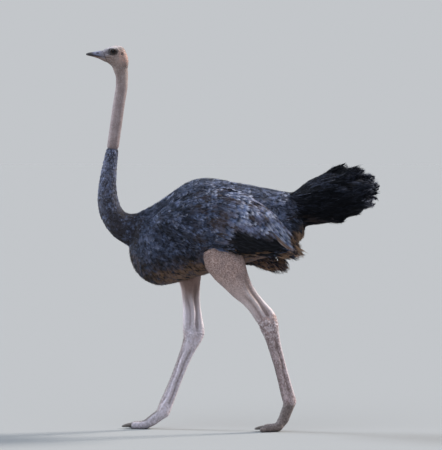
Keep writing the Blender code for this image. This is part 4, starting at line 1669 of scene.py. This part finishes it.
def unwrapNeck(points):
    reach = alongNeck(points)[0]
    middle = np.stack([np.interp(reach, neckReach, neckLine[:, i]) for i in range(3)], 1)
    away = points - middle
    return np.stack([reach, np.arctan2(away[:, 1], -away[:, 0]) / (2 * math.pi)], 1)


def unwrapTrunk(points):
    middle = (np.interp(points[:, 0], *form["belly"]) + np.interp(points[:, 0], *form["back"])) / 2
    return np.stack([points[:, 0], np.arctan2(np.abs(points[:, 1]), points[:, 2] - middle) / 3], 1)


def unwrapWing(points):
    return points[:, [0, 2]] + np.abs(points[:, [1, 1]]) * (0.0, 0.8)


def unwrapTail(points):
    away = points - np.array(form["tailRoot"])
    return np.stack([np.linalg.norm(away, axis=1), np.arctan2(away[:, 1], away[:, 2]) / (2 * math.pi)], 1)


trunkSolid = Guide(nodes["trunk"].data)


def makeNeckFeathers():
    rng = np.random.default_rng(seeds["neck"])
    x0, z0, slope = form["featherLine"]

    def chosen(points, up):
        above = points[:, 2] - z0 + (points[:, 0] - x0) * slope
        hem = 0.89 + 0.08 * rng.random(len(points))
        onNeck = (alongNeck(points)[0] > 0.035) & (points[:, 0] < -0.44)
        return (above < -0.006) & (points[:, 2] > hem) & onNeck

    tips, up = bodyGuide.spots(neckMake["gap"], chosen, rng)
    reach = alongNeck(tips)[0]
    top = neckReach[8] + 0.028
    length = np.interp(reach, (0.03, 0.15, 0.35), (0.055, 0.040, 0.026))
    length = np.minimum(length, np.maximum(top - reach, 0.008))
    made = field(bodyGuide, tips, neckFlow, neckMake, rng, neckTint, length)
    featherPiece("neckFeathers", [made], bodyCoat, unwrapNeck)


def makeBodyFeathers(side):
    sign = sides[side]
    rng = np.random.default_rng(seeds[f"body{side.title()}"])
    wing = wingGuides[side]

    def chosen(points, up):
        inside = (points[:, 1] * sign > -0.004) & (points[:, 2] > 0.70) & (points[:, 0] > -0.53)
        onNeck = (alongNeck(points)[0] > 0.06 + 0.12 * rng.random(len(points))) & (points[:, 0] < -0.45)
        return inside & ~(onNeck & (points[:, 2] > 0.915 + 0.04 * rng.random(len(points))))

    def tips(make):
        spots, up = bodyGuide.spots(make["gap"], chosen, rng)
        labels = labelsOf(spots)
        out = np.tile((0.0, sign, 0.0), (len(spots), 1))
        ahead = spots - bodyFlow(spots, up) * bodyCover["ahead"]
        under = [wing.hit(start + up * 0.001, out, 0.3) < bodyCover["cover"] for start in (spots, ahead)]
        fringe = np.char.startswith(labels.astype(str), "drumstick")
        onTrunk = np.isin(labels, ["trunk", "neck_feathered", "wing_left", "wing_right"])
        fringe &= trunkSolid.gaps(spots) < bodyCover["fringe"] * rng.random(len(spots)) ** 0.5
        keep = ~(under[0] & under[1]) & (onTrunk | fringe)
        return spots[keep]

    def lengths(spots, share):
        length = 0.064 + 0.022 * ramp(spots[:, 0], -0.40, 0.10) - 0.014 * ramp(spots[:, 0], -0.40, -0.50)
        length -= 0.018 * ramp(alongNeck(spots)[0], 0.08, 0.18) * (spots[:, 0] < -0.45) * (spots[:, 2] > 0.9)
        return (length + 0.008 * ramp(trunkHeight(spots), 0.8, 1.0)) * share

    fields = []
    for make, share in ((bodyMake, 1.0), (looseMake, 0.62), (tuftMake, 0.70)):
        spots = tips(make)
        fields.append(field(bodyGuide, spots, bodyFlow, make, rng, bodyTint, lengths(spots, share)))
    featherPiece(f"bodyFeathers{side.title()}", fields[:2], bodyCoat, unwrapTrunk)
    featherPiece(f"bodyTufts{side.title()}", fields[2:], bodyCoat, unwrapTrunk)


def makeWing(side):
    sign = sides[side]
    rng = np.random.default_rng(seeds[f"wing{side.title()}"])
    guide = wingGuides[side]

    def outer(points, up):
        front = (wingPlace(points, side)[0] < -0.22) & (trunkSolid.gaps(points) > 0.010)
        return (up[:, 1] * sign > -0.25) | (np.abs(points[:, 1]) > 0.16) | front

    def rear(x, share):
        return ramp(x + share * 0.10, -0.04, 0.06)

    def clear(x, share):
        return 1 - shadedWingRecess(x, share)

    def grow(make, wanted, lengths=None):
        tips, up = guide.spots(make["gap"], outer, rng)
        x, z = wingPlace(tips, side)
        kept = wanted(x, wingShare(x, z)) > rng.random(len(tips))
        length = lengths(x[kept]) if lengths else None
        fields.append(field(guide, tips[kept], flow, make, rng, tint, length))

    flow, tint = wingFlow(side), wingTint(side)
    fields = []
    grow(
        covertMake,
        lambda x, share: (1 - rear(x, share)) * clear(x, share),
        lambda x: 0.056 + 0.030 * ramp(x, -0.30, 0.05),
    )
    grow(
        webMake,
        lambda x, share: rear(x, share) * clear(x, share) * (1 - 0.8 * ramp(x, 0.14, 0.21)),
        lambda x: 0.100 + 0.02 * rng.random(len(x)),
    )
    grow(quillMake, lambda x, share: ramp(x, 0.13, 0.20) * clear(x, share))
    grow(innerMake, shadedWingRecess)
    for make in (wingLooseMake, wingTuftMake):
        grow(make, lambda x, share: 0.9 - 0.7 * rear(x, share), lambda x: make["length"])
    featherPiece(f"wingCoverts{side.title()}", fields, bodyCoat, unwrapWing)

    under = plumeGuides[side]
    tips, up = under.spots(plumeMake["gap"], lambda points, up: points[:, 0] > -9, rng)
    made = field(under, tips, plumeFlow, plumeMake, rng, plumeTint)
    featherPiece(f"wingPlumes{side.title()}", [made], bodyCoat, unwrapWing, [f"wing_plumes_{side}"])


def makeTail():
    rng = np.random.default_rng(seeds["tail"])
    fields = []
    for make in (tailMake, strandMake):
        low, high = make["length"]
        tips, up = tailGuide.spots(make["gap"], lambda points, up: points[:, 0] > 0.31, rng)
        gap = tailSolid.gaps(tips)
        tips = tips[(gap < 0.005) | ((tips[:, 0] > 0.325) & (tips[:, 2] > 1.0))]
        reach = np.linalg.norm(tips - np.array(form["tailRoot"]), axis=1)
        length = np.minimum(low + (high - low) * rng.random(len(tips)), 0.045 + reach)
        fields.append(field(tailGuide, tips, tailFlow, make, rng, tailTint, length))
    featherPiece("tailPlumes", fields[:1], tailCoat, unwrapTail, ["tail"], "dark_plumage")
    featherPiece("tailStrands", fields[1:], tailCoat, unwrapTail, slot="dark_plumage")


def makeDown():
    # sparse pale down on the bare neck, closer on the crown and nape
    rng = np.random.default_rng(seeds["down"])
    x0, z0, slope = form["featherLine"]

    def chosen(points, up):
        x, z = points[:, 0], points[:, 2]
        clear = np.hypot((x - eye["at"][0]) / 1.5, z - eye["at"][2]) > 0.017
        clear &= np.hypot(x - face["ear"][0], z - face["ear"][1]) > 0.007
        return (z > z0 - (x - x0) * slope) & (x > -0.622) & (clear | (np.abs(points[:, 1]) < 0.010))

    fields = []
    for make, share in ((downMake, neckShare), (crownMake, crownShare)):
        tips, up = skinGuide.spots(make["gap"], chosen, rng)
        tips = tips[share(tips) > rng.random(len(tips))]
        fields.append(field(skinGuide, tips, neckFlow, make, rng, downTint, make["length"]))
    featherPiece("headDown", fields, paleDown, unwrapNeck)


def neckShare(points):
    return 1 - 0.6 * ramp(points[:, 2], 1.78, 1.83) * ramp(points[:, 0], -0.56, -0.58)


def crownShare(points):
    crown = ramp(points[:, 2] - points[:, 0] * 0.25, 1.985, 2.03)
    return crown + ramp(points[:, 0], -0.562, -0.545) * (points[:, 2] > 1.78)


def downTint(points, rng):
    chance = rng.random(len(points))
    return tintOf(chance, 0.10 * (chance > 0.8), 0.5 * (chance < 0.3))


downMake = {
    "pattern": "down", "gap": 0.0075, "slender": (0.22, 0.38), "depth": (0.0004, 0.0010),
    "lift": (0.0004, 0.0026), "wander": 0.5, "roll": 0.3, "bend": 0.15, "curl": (0.0, 0.08), "steps": 2,
    "length": 0.016,
}
crownMake = dict(downMake, gap=0.0035, length=0.012)
shieldMake = {
    "pattern": "shield", "spacing": 0.0096, "length": 0.0128, "slender": (0.92, 0.96),
    "depth": (0.0006, 0.0006), "lift": (0.0004, 0.0007), "wander": 0.03, "roll": 0.02, "bend": 0.02,
    "curl": (0.0, 0.0), "steps": 2, "camber": 0.40,
}
shieldColours = {"low": (0.060, 0.045, 0.043), "high": (0.190, 0.150, 0.145), "rim": (0.30, 0.25, 0.24)}


def shieldFinish():
    plate = Finish("shankShield", 0.55)
    along, across, tone = plate.attribute("lie")
    clouds, grain = plate.noise(90.0, 4), plate.noise(420.0, 3)
    shade = (tone * 0.5 + clouds * 0.7).step(0.25, 0.95)
    colour = plate.layers(
        plate.blend(shade, shieldColours["low"], shieldColours["high"]),
        (along.step(0.82, 0.98) * 0.5, shieldColours["rim"]),
        (across.size().step(0.70, 1.0) * 0.45, shieldColours["low"]),
    )
    rough, bump = grain * 0.25 + 0.45, plate.bump(grain + clouds, 0.0004)
    return plate.shade(Base_Color=colour, Roughness=rough, Normal=bump)


def shieldTint(points, rng):
    return tintOf(np.zeros(len(points)), 0, 0)


def crestOf(name, count):
    # points on the top of a toe, from its root to its claw
    toe = Guide(nodes[name].data)
    low, high = (np.array(corner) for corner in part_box(name))
    crest = []
    for x in np.linspace(high[0] - 0.30 * (high[0] - low[0]), low[0] + 0.016, count):
        start = np.column_stack([np.full(25, x), np.linspace(low[1], high[1], 25), np.full(25, 0.3)])
        fall = toe.hit(start, np.tile((0.0, 0.0, -1.0), (25, 1)), 0.3)
        if fall.min() < 0.3:
            crest.append(start[fall.argmin()] - (0, 0, fall.min()))
    return np.array(crest)


def makeShields(side):
    rng = np.random.default_rng(seeds[f"shields{side.title()}"])
    hock, ball = legPoint(side, "hock"), legPoint(side, "ball")
    axis = unit(ball - hock)
    forward = unit(forwardOf(axis))
    spacing = shieldMake["spacing"]
    reach = np.arange(0.030, np.linalg.norm(ball - hock) + 0.010, spacing)
    centre = hock + axis * reach[:, None]
    gap = skinGuide.hit(centre + forward * 0.10, np.tile(-forward, (len(centre), 1)), 0.10)
    fields = [shieldField(centre + forward * (0.10 - gap[:, None]), axis, rng, 1.0)]
    for toe, share in (("toe_big", 1.15), ("toe_small", 0.80)):
        low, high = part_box(f"{toe}_{side}")
        crest = crestOf(f"{toe}_{side}", int(0.62 * (high[0] - low[0]) / (spacing * share)))
        fields.append(shieldField(crest, unit(crest[-1] - crest[0]), rng, share))
    featherPiece(f"shields{side.title()}", fields, shieldPlate, unwrapWing, slot="horn")


def shieldField(tips, way, rng, share):
    def flow(points, up):
        return pressed(np.tile(way, (len(points), 1)), up)

    return field(skinGuide, tips, flow, shieldMake, rng, shieldTint, shieldMake["length"] * share)


shieldPlate = shieldFinish()
makeNeckFeathers()
for side in sides:
    makeBodyFeathers(side)
    makeWing(side)
makeTail()
makeDown()
for side in sides:
    makeShields(side)
